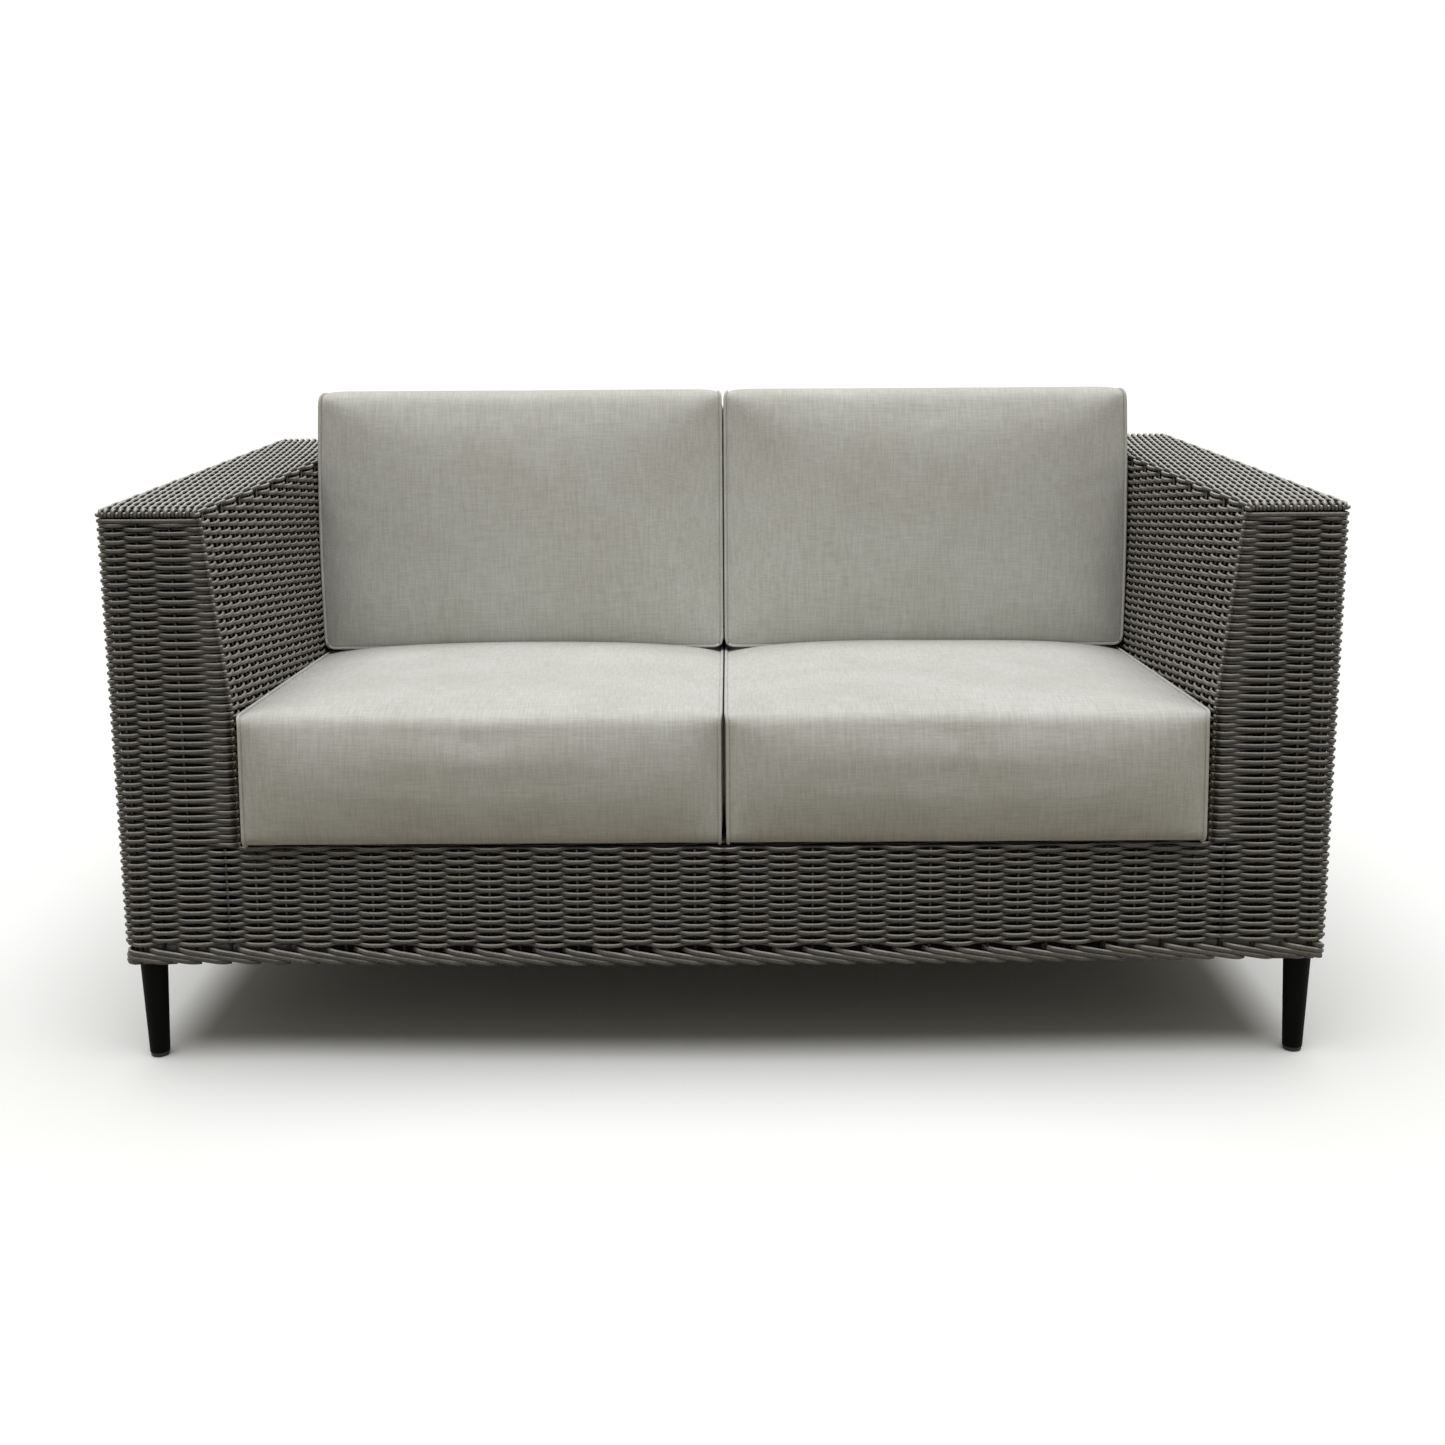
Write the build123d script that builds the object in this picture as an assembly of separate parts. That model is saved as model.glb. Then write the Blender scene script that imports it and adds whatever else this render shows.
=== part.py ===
from build123d import *
from math import cos, radians, sin, sqrt, tan
import os

# Patio loveseat: a boxy woven tub on a welded tube frame, four tapered legs, two loose
# seat cushions and two loose back cushions. Millimetres, +Z up, X along the length,
# front towards -Y. The origin is on the floor under the middle of the whole seat.

# Overall sizes of the tub
overall_width = 1500.0
overall_depth = 892.0
arm_height = 708.0
side_taper = 17.0
body_bottom = 128.0
front_bow = 12.0
corner_radius = 14.0
edge_round = 12.0
top_chamfer = 6.0

# The arms, whose inner faces flare out above the knee, and the leaning back between them
arm_width = 152.0
arm_flare = 27.0
arm_base_flare = 0.8
arm_knee_height = 455.0
back_top_width = 155.0
recline = 5.5

# The woven skin and the wale that ends it below
weave_thickness = 8.0
border_height = 26.0

# The rows of strand, as proud bands with grooves between: one band is a pair of strands
row_pitch = 10.4
row_groove = 4.4
row_relief = 3.5
row_fall = 7.8
top_row_count = 13

# The welded frame
tube_size = 25.0
tube_wall = 2.0
weld_gap = 0.3
stay_count = 3
slat_count = 7
slat_width = 45.0
slat_thickness = 4.0
deck_thickness = 6.0

# The seat deck, which falls towards the back
deck_height = 287.0
deck_fall = 3.75

# Legs, their plates, studs and glides
leg_top_diameter = 34.0
leg_foot_diameter = 25.0
leg_inset = 26.0
plate_size = 50.0
plate_thickness = 4.0
stud_diameter = 8.0
stud_reach = 30.0
stud_clearance = 0.3
glide_height = 6.0
glide_diameter = 23.0
glide_round = 2.5
glide_stem_diameter = 9.0
glide_stem_length = 14.0

# Cushions
cushion_side_gap = 4.0
cushion_rest_gap = 0.3
cover_thickness = 3.0
core_gap = 0.3
side_draw = 4.0
cushion_corner_radius = 14.0
seat_front_overhang = 12.0
seat_boxing = 148.0
seat_crown = 26.0
seat_foot_round = 12.0
seat_back_clearance = 8.0
back_cushion_height = 381.0
back_boxing = 158.0
back_crown = 30.0
back_rear_crown = 6.0

# How a cushion's face rolls over its edge and rises to its crown: each step's inset is a
# share of the cushion's shorter side and its rise a share of the crown
crown_shares = ((0.0, 0.0), (0.008, 0.42), (0.03, 0.64), (0.12, 0.84), (0.40, 1.0))

# The roll of a seat cushion's lower edge: each step's inset and rise are shares of its round
foot_shares = ((1.0, 0.0), (0.29, 0.29), (0.0, 1.0))

# The zip in the hidden boxing of each cushion, which stops short of the corners
zip_inset = 86.0
zip_slot_width = 14.0
zip_tape_width = 28.0
zip_tape_thickness = 1.2
zip_slider_length = 16.0
zip_slider_width = 9.0
zip_slider_thickness = 2.4
zip_tab_length = 20.0
zip_tab_width = 5.0
zip_tab_thickness = 1.0
zip_clearance = 0.3

# One overrun serves all cuts
overrun = 5.0

# Places on the tub that several pieces share
half_width = overall_width / 2
rear_half_width = half_width - side_taper
rear_y = overall_depth / 2
bow_y = -rear_y
front_y = bow_y + front_bow
arm_depth = rear_y - front_y
well_half_width = half_width - arm_width
arm_top_inner = well_half_width + arm_flare
border_top = body_bottom + border_height
skin_top = arm_height - weave_thickness
back_inner_y = rear_y - back_top_width
lean = tan(radians(recline))
slope = tan(radians(deck_fall))

# Where the deck meets the leaning inner face of the back
deck_back_z = (
    deck_height - slope * (back_inner_y - arm_height * lean - front_y)
) / (1 + slope * lean)
deck_back_y = back_inner_y - (arm_height - deck_back_z) * lean

# The frame's levels and its distances in from the outside of the tub
half_tube = tube_size / 2
low_rail_z = body_bottom + plate_thickness + half_tube
low_rail_top = low_rail_z + half_tube
top_rail_z = skin_top - half_tube
top_rail_bottom = top_rail_z - half_tube
rail_offset = weave_thickness + weld_gap + half_tube
bend_inside = corner_radius - weave_thickness
corner_clear = corner_radius - bend_inside / sqrt(2) + weld_gap
post_offset = corner_clear + half_tube
front_rail_y = front_y + rail_offset
rear_rail_y = rear_y - rail_offset
between_rails = (front_rail_y + half_tube + weld_gap, rear_rail_y - half_tube - weld_gap)
inner_post_y = front_y + edge_round + half_tube
inner_rail_foot_x = well_half_width + rail_offset
inner_rail_top_x = arm_top_inner + rail_offset

# Levels under the deck, along its normal
slat_level = -deck_thickness
rail_level = slat_level - slat_thickness
rail_mid_level = rail_level - half_tube
deck_start = weave_thickness - rail_level * slope + weld_gap

# The deck's own frame: x along the seat, y down the fall to the back, z out of it
deck_plane = Plane(
    origin=(0, front_y, deck_height),
    x_dir=(1, 0, 0),
    z_dir=(0, sin(radians(deck_fall)), cos(radians(deck_fall))),
)
deck_length = (deck_back_y - front_y) / cos(radians(deck_fall))
deck_front_rail_y = edge_round + half_tube
deck_rear_rail_y = deck_length + weave_thickness - half_tube - tube_size * lean

# Each cushion is drawn with its zip side along x and its resting face on z = 0
cushion_width = well_half_width - cushion_side_gap * 3 / 2
cushion_x = cushion_width / 2 + cushion_side_gap / 2
zip_length = cushion_width - 2 * zip_inset
seat_end = deck_length - seat_back_clearance
seat_depth = seat_end + seat_front_overhang

# How far up the leaning back a back cushion stands: on the seat cushion's crown, which it
# meets first at one of the crown's steps
rest_slope = tan(radians(recline - deck_fall))
crown_side = min(seat_depth, cushion_width)
back_cushion_foot = cushion_rest_gap + max(
    seat_boxing + seat_crown * rise - (seat_back_clearance + share * crown_side) * rest_slope
    for share, rise in crown_shares
)


def side_x(y):
    """The outer face of the right arm at a distance along the seat."""
    return half_width - side_taper * (y - front_y) / arm_depth


def back_face_y(z):
    """The leaning inner face of the back at a height."""
    return back_inner_y - (arm_height - z) * lean


def deck_point(x, y, z):
    """A place given in the deck's own frame."""
    return deck_plane.from_local_coords(Vector(x, y, z))


def box_between(low, high):
    """A box from its lowest corner to its highest."""
    size = [b - a for a, b in zip(low, high)]
    middle = [(a + b) / 2 for a, b in zip(low, high)]
    return Pos(*middle) * Box(*size)


def deck_box(low, high):
    """A box given in the deck's own frame."""
    return deck_plane.location * box_between(low, high)


def tube_between(start, end, side=(0, 0, 1)):
    """A square tube whose axis joins two points, with one wall facing side."""
    axis = Vector(end) - Vector(start)
    outer = Rectangle(tube_size, tube_size)
    bore = Rectangle(tube_size - 2 * tube_wall, tube_size - 2 * tube_wall)
    place = Plane(origin=start, x_dir=side, z_dir=axis)
    return extrude(place * (outer - bore), amount=axis.length)


def upright(x, y, low, high):
    return tube_between((x, y, low), (x, y, high), side=(1, 0, 0))


def crosswise(half_length, y, z):
    return tube_between((-half_length, y, z), (half_length, y, z))


def mirrored(shape):
    return mirror(shape, about=Plane.YZ)


def save(node, *solids):
    shape = solids[0] if len(solids) == 1 else Compound(children=list(solids))
    export_step(shape, f"parts/{node}.step")


def save_pair(node, shape):
    """A piece of the right side and its mirror image on the left."""
    save(f"{node}_right", shape)
    save(f"{node}_left", mirrored(shape))


# The woven skin


def arm_outline(height, inner_front, inset=0):
    """The right arm from above at one height, its outer corners and inner front round."""
    points = [
        (half_width, front_y),
        (rear_half_width, rear_y),
        (well_half_width, rear_y),
        (well_half_width, deck_back_y),
        (inner_front, front_y),
    ]
    sketch = make_face(Polyline(*points, close=True))
    outer_corners = sketch.vertices().filter_by(lambda v: v.X > arm_top_inner + overrun)
    sketch = fillet(outer_corners, corner_radius)
    sketch = fillet(sketch.vertices().sort_by_distance((inner_front, front_y))[0], edge_round)
    if inset:
        sketch = offset(sketch, amount=-inset, kind=Kind.INTERSECTION)
    return Pos(0, 0, height) * sketch


def arm_block(low, high, inset=0):
    """The right arm as a solid: upright to the knee, its inner face flared above."""
    knee = well_half_width + arm_base_flare
    levels = [
        arm_outline(low, knee, inset),
        arm_outline(arm_knee_height, knee, inset),
        arm_outline(high, arm_top_inner, inset),
    ]
    return loft(levels, ruled=True)


def rounded_arm():
    """The outside of the right arm with the edges of its top eased."""
    block = arm_block(border_top, arm_height)
    rim = block.faces().sort_by(Axis.Z)[-1].edges()
    rim = rim.filter_by(lambda e: e.center().X > well_half_width + overrun)
    return chamfer(rim, top_chamfer)


def back_profile(inset=0, floor=border_top):
    """The back from the side: an upright outer face and a leaning inner one."""
    top = arm_height - inset
    points = [
        (rear_y - inset, floor),
        (rear_y - inset, top),
        (back_face_y(top) + inset, top),
        (back_face_y(floor) + inset, floor),
    ]
    return Plane.YZ * make_face(Polyline(*points, close=True))


def across(profile, half):
    """A side profile carried across the seat, half to each side of the middle."""
    return extrude(profile, amount=half, both=True)


def under_deck(half):
    """The space under the deck, where the frame passes from arm to arm."""
    ceiling = deck_height - deck_thickness
    points = [
        (front_y + weave_thickness, body_bottom - overrun),
        (front_y + weave_thickness, ceiling - weave_thickness * slope),
        (rear_y - weave_thickness, ceiling - (arm_depth - weave_thickness) * slope),
        (rear_y - weave_thickness, body_bottom - overrun),
    ]
    return across(Plane.YZ * make_face(Polyline(*points, close=True)), half)


def cut_section(x, y, z, width, height):
    """A rectangle square to the seat's depth, round a place."""
    return Plane(origin=(x, y, z), x_dir=(1, 0, 0), z_dir=(0, 1, 0)) * Rectangle(width, height)


def row_levels(start, end):
    """The heights of the grooves between the rows, from one height to another."""
    count = int((end - start) / row_pitch)
    return [start + row_pitch * (row + 1) for row in range(count)]


def outside_grooves():
    """Level grooves round the whole outside of the tub, between the rows."""
    outline = tub_outline()
    around = Rectangle(overall_width + overrun, overall_depth + overrun)
    ring = around - offset(outline, amount=-row_relief, kind=Kind.INTERSECTION)
    levels = row_levels(border_top, skin_top - row_groove)
    return [extrude(Pos(0, 0, z - row_groove / 2) * ring, amount=row_groove) for z in levels]


def inner_grooves():
    """Grooves on the inner face of the right arm, which fall towards the back."""
    fall = tan(radians(row_fall))
    run = deck_back_y - front_y
    highest = arm_height - edge_round
    grooves = []
    for z in row_levels(border_top, highest + fall * run):
        start = front_y + max(corner_radius, (z - highest) / fall)
        end = back_face_y(z - fall * run)
        if z - fall * run < deck_back_z - row_pitch or end - start < row_pitch:
            continue
        sections = []
        for y in (start, end):
            level = z - fall * (y - front_y)
            rise = max(0, level - arm_knee_height) / (arm_height - arm_knee_height)
            ahead = max(0, 1 - (y - front_y) / run)
            face_x = well_half_width + (arm_base_flare + (arm_flare - arm_base_flare) * rise) * ahead
            width = row_relief + overrun
            sections.append(cut_section(face_x + row_relief - width / 2, y, level, width, row_groove))
        grooves.append(loft(sections, ruled=True))
    return grooves


def top_grooves():
    """Grooves along the top of the right arm, from its front edge to its rear one."""
    grooves = []
    for row in range(1, top_row_count):
        share = row / top_row_count
        sections = []
        for y, inner, outer in (
            (front_y, arm_top_inner, half_width),
            (rear_y, well_half_width, rear_half_width),
        ):
            height = row_relief + overrun
            x = inner + share * (outer - inner)
            middle = arm_height - row_relief + height / 2
            sections.append(cut_section(x, y, middle, row_groove, height))
        grooves.append(loft(sections, ruled=True))
    return grooves


def weave_arm():
    """The skin of the right arm, hollow and open to the back and under the deck."""
    skin = rounded_arm() - arm_block(border_top - overrun, skin_top, weave_thickness)
    reach = well_half_width + weave_thickness + overrun
    skin -= across(back_profile(weave_thickness, border_top - overrun), reach)
    skin -= under_deck(reach)
    return skin - outside_grooves() - top_grooves() - inner_grooves()


def weave_back():
    """The skin of the back between the arms: its inner wall, its top and its outer wall."""
    skin = across(back_profile(), well_half_width)
    rim = skin.edges().filter_by(Axis.X).group_by(Axis.Z)[-1]
    skin = chamfer(rim.sort_by(Axis.Y)[-1], top_chamfer)
    skin -= across(back_profile(weave_thickness, border_top - overrun), half_width)
    skin -= under_deck(half_width)
    far = overall_width
    inner = box_between((-far, -far, 0), (far, back_face_y(skin_top) + weave_thickness, skin_top))
    top = box_between((-far, -far, skin_top), (far, far, arm_height))
    outer = box_between((-far, rear_y - weave_thickness, 0), (far, far, skin_top))
    return skin & inner, skin & top, (skin & outer) - outside_grooves()


def weave_apron():
    """The bowed front skin between the arms, up to the deck."""
    outside = ThreePointArc((-well_half_width, front_y), (0, bow_y), (well_half_width, front_y))
    strip = make_face(offset(outside, amount=weave_thickness, side=Side.LEFT))
    top = deck_height - weave_thickness * slope
    return extrude(Pos(0, 0, border_top) * strip, amount=top - border_top) - outside_grooves()


def weave_deck():
    """The woven deck on the slats, its front edge bowed like the apron."""
    half = well_half_width - weld_gap
    start = deck_start
    edge = ThreePointArc((-half, start), (0, start - front_bow), (half, start))
    end = deck_length - deck_thickness * lean - weld_gap
    sides = Polyline((half, start), (half, end), (-half, end), (-half, start))
    face = Pos(0, 0, slat_level) * make_face(edge + sides)
    return deck_plane.location * extrude(face, amount=deck_thickness)


def tub_outline():
    """The whole tub from above, with its bowed front and round corners."""
    edge = ThreePointArc((-well_half_width, front_y), (0, bow_y), (well_half_width, front_y))
    sides = Polyline(
        (well_half_width, front_y),
        (half_width, front_y),
        (rear_half_width, rear_y),
        (-rear_half_width, rear_y),
        (-half_width, front_y),
        (-well_half_width, front_y),
    )
    sketch = make_face(edge + sides)
    corners = sketch.vertices().filter_by(lambda v: abs(v.X) > arm_top_inner)
    return fillet(corners, corner_radius)


def border_runs():
    """The wale that ends the weave, as a front, a rear and a right-hand run."""
    outline = tub_outline()
    ring = outline - offset(outline, amount=-weave_thickness, kind=Kind.INTERSECTION)
    ring = extrude(Pos(0, 0, body_bottom) * ring, amount=border_height)
    front_cut = front_y + corner_radius
    rear_cut = rear_y - corner_radius
    far = overall_width
    front = box_between((-far, -far, 0), (far, front_cut, arm_height))
    rear = box_between((-far, rear_cut, 0), (far, far, arm_height))
    right = box_between((0, front_cut, 0), (far, rear_cut, arm_height))
    return ring & front, ring & rear, ring & right


def save_weave():
    front, rear, right = border_runs()
    inner, top, outer = weave_back()
    save_pair("weave_arm", weave_arm())
    save("weave_back_inner", inner)
    save("weave_back_top", top)
    save("weave_back_outer", outer)
    save("weave_apron", weave_apron())
    save("weave_deck", weave_deck())
    save("border_front", front)
    save("border_rear", rear)
    save_pair("border_side", right)


# The welded frame


def sloping_side_tube(start, end, z):
    """A tube along the right arm that follows the taper of its outer face."""
    return tube_between((side_x(start) - rail_offset, start, z), (side_x(end) - rail_offset, end, z))


def inner_rail_x(y):
    """The middle of the rail under the inner edge of the right arm's top."""
    share = (y - inner_post_y) / (between_rails[1] - inner_post_y)
    return inner_rail_top_x + share * (inner_rail_foot_x - inner_rail_top_x)


def inner_post():
    """The front post under the inner edge of the arm, leaning out with the flare."""
    run = inner_rail_top_x - inner_rail_foot_x
    trim = half_tube * run / (top_rail_bottom - low_rail_top) + weld_gap
    foot = (inner_rail_foot_x, inner_post_y, low_rail_top + trim)
    return tube_between(foot, (inner_rail_top_x, inner_post_y, top_rail_bottom - trim), (0, 1, 0))


def inner_rail():
    """The rail under the inner edge of the arm's top, running back to the rear rail."""
    start = inner_post_y - half_tube
    run = (inner_rail_top_x - inner_rail_foot_x) / arm_depth
    end = between_rails[1] - half_tube * run
    return tube_between(
        (inner_rail_x(start), start, top_rail_z), (inner_rail_x(end), end, top_rail_z))


def back_stay(x):
    """A leaning tube behind the inner face of the back."""
    offset_y = weave_thickness + half_tube / cos(radians(recline)) + weld_gap
    trim = half_tube * lean + weld_gap
    low = deck_point(0, deck_rear_rail_y, rail_level - tube_size).Z
    high = top_rail_bottom - trim
    foot = (x, back_face_y(low) + offset_y, low)
    head = (x, back_face_y(high) + offset_y, high)
    return tube_between(foot, head, side=(1, 0, 0))


def save_rails():
    front_half = half_width - corner_radius - weld_gap
    rear_half = rear_half_width - corner_radius - weld_gap
    save("front_rail_lower", crosswise(front_half, front_rail_y, low_rail_z))
    save("rear_rail_lower", crosswise(rear_half, rear_rail_y, low_rail_z))
    save("back_rail_rear", crosswise(rear_half, rear_rail_y, top_rail_z))
    save_pair("side_rail", sloping_side_tube(*between_rails, low_rail_z))
    save_pair("arm_rail_outer", sloping_side_tube(front_y + corner_radius, between_rails[1], top_rail_z))
    save_pair("arm_rail_inner", inner_rail())
    back_rail_y = back_face_y(skin_top) + rail_offset + weld_gap
    back_half = inner_rail_x(back_rail_y + half_tube) - half_tube - weld_gap
    save("back_rail_front", crosswise(back_half, back_rail_y, top_rail_z))


def save_posts():
    front_x = half_width - post_offset
    rear_x = rear_half_width - post_offset
    front_post = upright(front_x, front_y + post_offset, low_rail_top, top_rail_bottom)
    rear_post = upright(rear_x, rear_y - post_offset, low_rail_top, top_rail_bottom)
    save_pair("arm_post_outer", front_post)
    save_pair("arm_post_inner", inner_post())
    save_pair("rear_post", rear_post)
    save("back_post_middle", upright(0, rear_rail_y, low_rail_top, top_rail_bottom))
    reach = well_half_width - tube_size
    places = [reach * (2 * i / (stay_count - 1) - 1) for i in range(stay_count)]
    save("back_stays", *[back_stay(x) for x in places])


def deck_crosswise(half_length, y):
    return tube_between(
        deck_point(-half_length, y, rail_mid_level),
        deck_point(half_length, y, rail_mid_level),
        side=deck_plane.z_dir,
    )


def deck_lengthwise(x):
    start = deck_front_rail_y + half_tube + weld_gap
    end = deck_rear_rail_y - half_tube - weld_gap
    return tube_between(
        deck_point(x, start, rail_mid_level), deck_point(x, end, rail_mid_level), side=deck_plane.z_dir)


def deck_post():
    """The post on the right side rail that carries the end of the rear deck rail."""
    rail = deck_point(0, deck_rear_rail_y, rail_level - tube_size)
    x = side_x(rail.Y) - rail_offset - weld_gap
    return upright(x, rail.Y, low_rail_top, rail.Z - half_tube * slope - weld_gap)


def save_deck_frame():
    post_face = inner_rail_foot_x - half_tube
    skin_face = side_x(deck_back_y + tube_size) - weave_thickness - weld_gap
    save("front_rail_deck", deck_crosswise(post_face, deck_front_rail_y))
    save("rear_rail_deck", deck_crosswise(skin_face, deck_rear_rail_y))
    save_pair("deck_rail", deck_lengthwise(well_half_width - half_tube - weld_gap))
    save("deck_bearer", deck_lengthwise(0))
    post = deck_post()
    save("deck_posts", post, mirrored(post))

    half = well_half_width - weld_gap
    first = deck_start + slat_width / 2
    last = deck_length + rail_level * lean - weld_gap - slat_width / 2
    pitch = (last - first) / (slat_count - 1)
    slats = []
    for i in range(slat_count):
        middle = first + i * pitch
        low = (-half, middle - slat_width / 2, rail_level)
        slats.append(deck_box(low, (half, middle + slat_width / 2, slat_level)))
    save("deck_slats", *slats)


# Legs


def leg(x, y):
    """A round tapered leg with a bore at each end."""
    length = body_bottom - glide_height
    cone = Cone(leg_foot_diameter / 2, leg_top_diameter / 2, length)
    cone = Pos(x, y, glide_height + length / 2) * cone
    stud_bore = Cylinder(stud_diameter / 2 + stud_clearance, stud_reach + overrun)
    glide_bore = Cylinder(glide_stem_diameter / 2 + stud_clearance, glide_stem_length + overrun)
    cone -= Pos(x, y, body_bottom - stud_reach / 2) * stud_bore
    return cone - Pos(x, y, glide_height + glide_stem_length / 2) * glide_bore


def leg_plate(x, y, x_sign, y_sign):
    """The plate in a lower corner of the frame, with the hole for its stud."""
    shift = corner_clear + plate_size / 2 - leg_inset
    middle = (x - x_sign * shift, y - y_sign * shift, body_bottom + plate_thickness / 2)
    plate = Pos(*middle) * Box(plate_size, plate_size, plate_thickness)
    hole = Cylinder(stud_diameter / 2 + stud_clearance, plate_thickness + overrun)
    return plate - Pos(x, y, middle[2]) * hole


def leg_stud(x, y):
    length = stud_reach + plate_thickness
    return Pos(x, y, body_bottom - stud_reach + length / 2) * Cylinder(stud_diameter / 2, length)


def leg_glide(x, y):
    """The push-in glide: a round foot and its stem."""
    foot = Pos(x, y, glide_height / 2) * Cylinder(glide_diameter / 2, glide_height)
    foot = fillet(foot.edges().sort_by(Axis.Z)[0], glide_round)
    stem_height = glide_stem_length + overrun - stud_clearance
    stem = Cylinder(glide_stem_diameter / 2, stem_height)
    return foot + Pos(x, y, glide_height + stem_height / 2 - overrun) * stem


def save_legs():
    plates = []
    studs = []
    glides = []
    for end, half, y, y_sign in (
        ("front", half_width, front_y + leg_inset, -1),
        ("rear", rear_half_width, rear_y - leg_inset, 1),
    ):
        for side, x_sign in (("right", 1), ("left", -1)):
            x = x_sign * (half - leg_inset)
            save(f"leg_{end}_{side}", leg(x, y))
            glides.append(leg_glide(x, y))
            plates.append(leg_plate(x, y, x_sign, y_sign))
            studs.append(leg_stud(x, y))
    save("leg_plates", *plates)
    save("leg_studs", *studs)
    save("leg_glides", *glides)


# Cushions


def cushion_outline(depth, inset, height):
    """A cushion from above: a straight zip side and three sides drawn in between corners."""
    half = cushion_width / 2 - inset
    low = inset
    high = depth - inset
    bend = max(cushion_corner_radius - inset, cover_thickness)
    draw = side_draw * (1 - inset / half)
    arm = bend * (1 - 1 / sqrt(2))
    edges = [
        Line((-half + bend, low), (half - bend, low)),
        ThreePointArc((half - bend, low), (half - arm, low + arm), (half, low + bend)),
        ThreePointArc((half, low + bend), (half - draw, (low + high) / 2), (half, high - bend)),
        ThreePointArc((half, high - bend), (half - arm, high - arm), (half - bend, high)),
        ThreePointArc((half - bend, high), (0, high - draw), (-half + bend, high)),
        ThreePointArc((-half + bend, high), (-half + arm, high - arm), (-half, high - bend)),
        ThreePointArc((-half, high - bend), (-half + draw, (low + high) / 2), (-half, low + bend)),
        ThreePointArc((-half, low + bend), (-half + arm, low + arm), (-half + bend, low)),
    ]
    return Pos(0, 0, height) * make_face(edges)


def cushion_form(depth, boxing, crown, rear_crown, inset=0):
    """A crowned cushion, all its faces inset by a distance from the cover's outside."""
    shorter = min(depth, cushion_width)
    top = rear_crown + boxing
    levels = []
    if rear_crown:
        for share, rise in reversed(crown_shares):
            levels.append((share * shorter, rear_crown * (1 - rise) + inset))
    else:
        for share, rise in foot_shares:
            levels.append((share * seat_foot_round, rise * seat_foot_round + inset))
    for share, rise in crown_shares:
        levels.append((share * shorter, top + crown * rise - inset))
    return loft([cushion_outline(depth, inset + step, z) for step, z in levels], ruled=True)


def cushion_pieces(depth, boxing, crown, rear_crown):
    """The cover, the core, the zip tape and the slider of one cushion."""
    form = (depth, boxing, crown, rear_crown)
    middle = rear_crown + boxing / 2
    half_slot = zip_slot_width / 2
    half_tape = zip_tape_width / 2
    half_zip = zip_length / 2
    tape_end = half_zip + half_slot
    tape_back = cover_thickness + zip_tape_thickness

    slot = box_between(
        (-half_zip, -overrun, middle - half_slot), (half_zip, cover_thickness, middle + half_slot))
    tape = box_between(
        (-tape_end, cover_thickness, middle - half_tape), (tape_end, tape_back, middle + half_tape))
    groove = box_between(
        (-tape_end - core_gap, cover_thickness, middle - half_tape - core_gap),
        (tape_end + core_gap, tape_back + core_gap, middle + half_tape + core_gap),
    )
    cover = cushion_form(*form) - cushion_form(*form, inset=cover_thickness) - slot
    core = cushion_form(*form, inset=cover_thickness + core_gap) - groove
    return cover, core, tape, zip_slider(middle)


def zip_slider(middle):
    """The slider and its pull tab, closed at one end of the slot."""
    back = cover_thickness - zip_clearance
    front = back - zip_slider_thickness
    end = zip_length / 2 - zip_clearance
    body_start = end - zip_slider_length
    half_body = zip_slider_width / 2
    half_tab = zip_tab_width / 2
    body = box_between((body_start, front, middle - half_body), (end, back, middle + half_body))
    tab_start = body_start - zip_tab_length
    tab_end = body_start + zip_slider_length / 2
    tab = box_between(
        (tab_start, front, middle - half_tab), (tab_end, front + zip_tab_thickness, middle + half_tab))
    return body + tab


def save_cushion(name, pieces, place):
    for part, piece in zip(("cover", "core", "zip", "zip_slider"), pieces):
        save_pair(f"{name}_{part}", place * piece)


def seat_place(x):
    """The frame of a seat cushion: on the deck, its zip side towards the back."""
    origin = deck_point(x, seat_end, cushion_rest_gap)
    return Plane(origin=origin, x_dir=(-1, 0, 0), z_dir=deck_plane.z_dir).location


def back_place(x):
    """The frame of a back cushion: against the back, its zip side down on the seat."""
    tilt = radians(recline)
    up = Vector(0, sin(tilt), cos(tilt))
    out = Vector(0, -cos(tilt), sin(tilt))
    corner = Vector(x, deck_back_y, deck_back_z)
    origin = corner + up * back_cushion_foot + out * cushion_rest_gap
    return Plane(origin=origin, x_dir=(1, 0, 0), z_dir=out).location


def save_cushions():
    seat = cushion_pieces(seat_depth, seat_boxing, seat_crown, 0)
    back = cushion_pieces(back_cushion_height, back_boxing, back_crown, back_rear_crown)
    save_cushion("seat_cushion", seat, seat_place(cushion_x))
    save_cushion("back_cushion", back, back_place(cushion_x))


os.makedirs("parts", exist_ok=True)
save_weave()
save_rails()
save_posts()
save_deck_frame()
save_legs()
save_cushions()
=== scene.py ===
from math import cos, pi, radians, sin, tan

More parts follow.
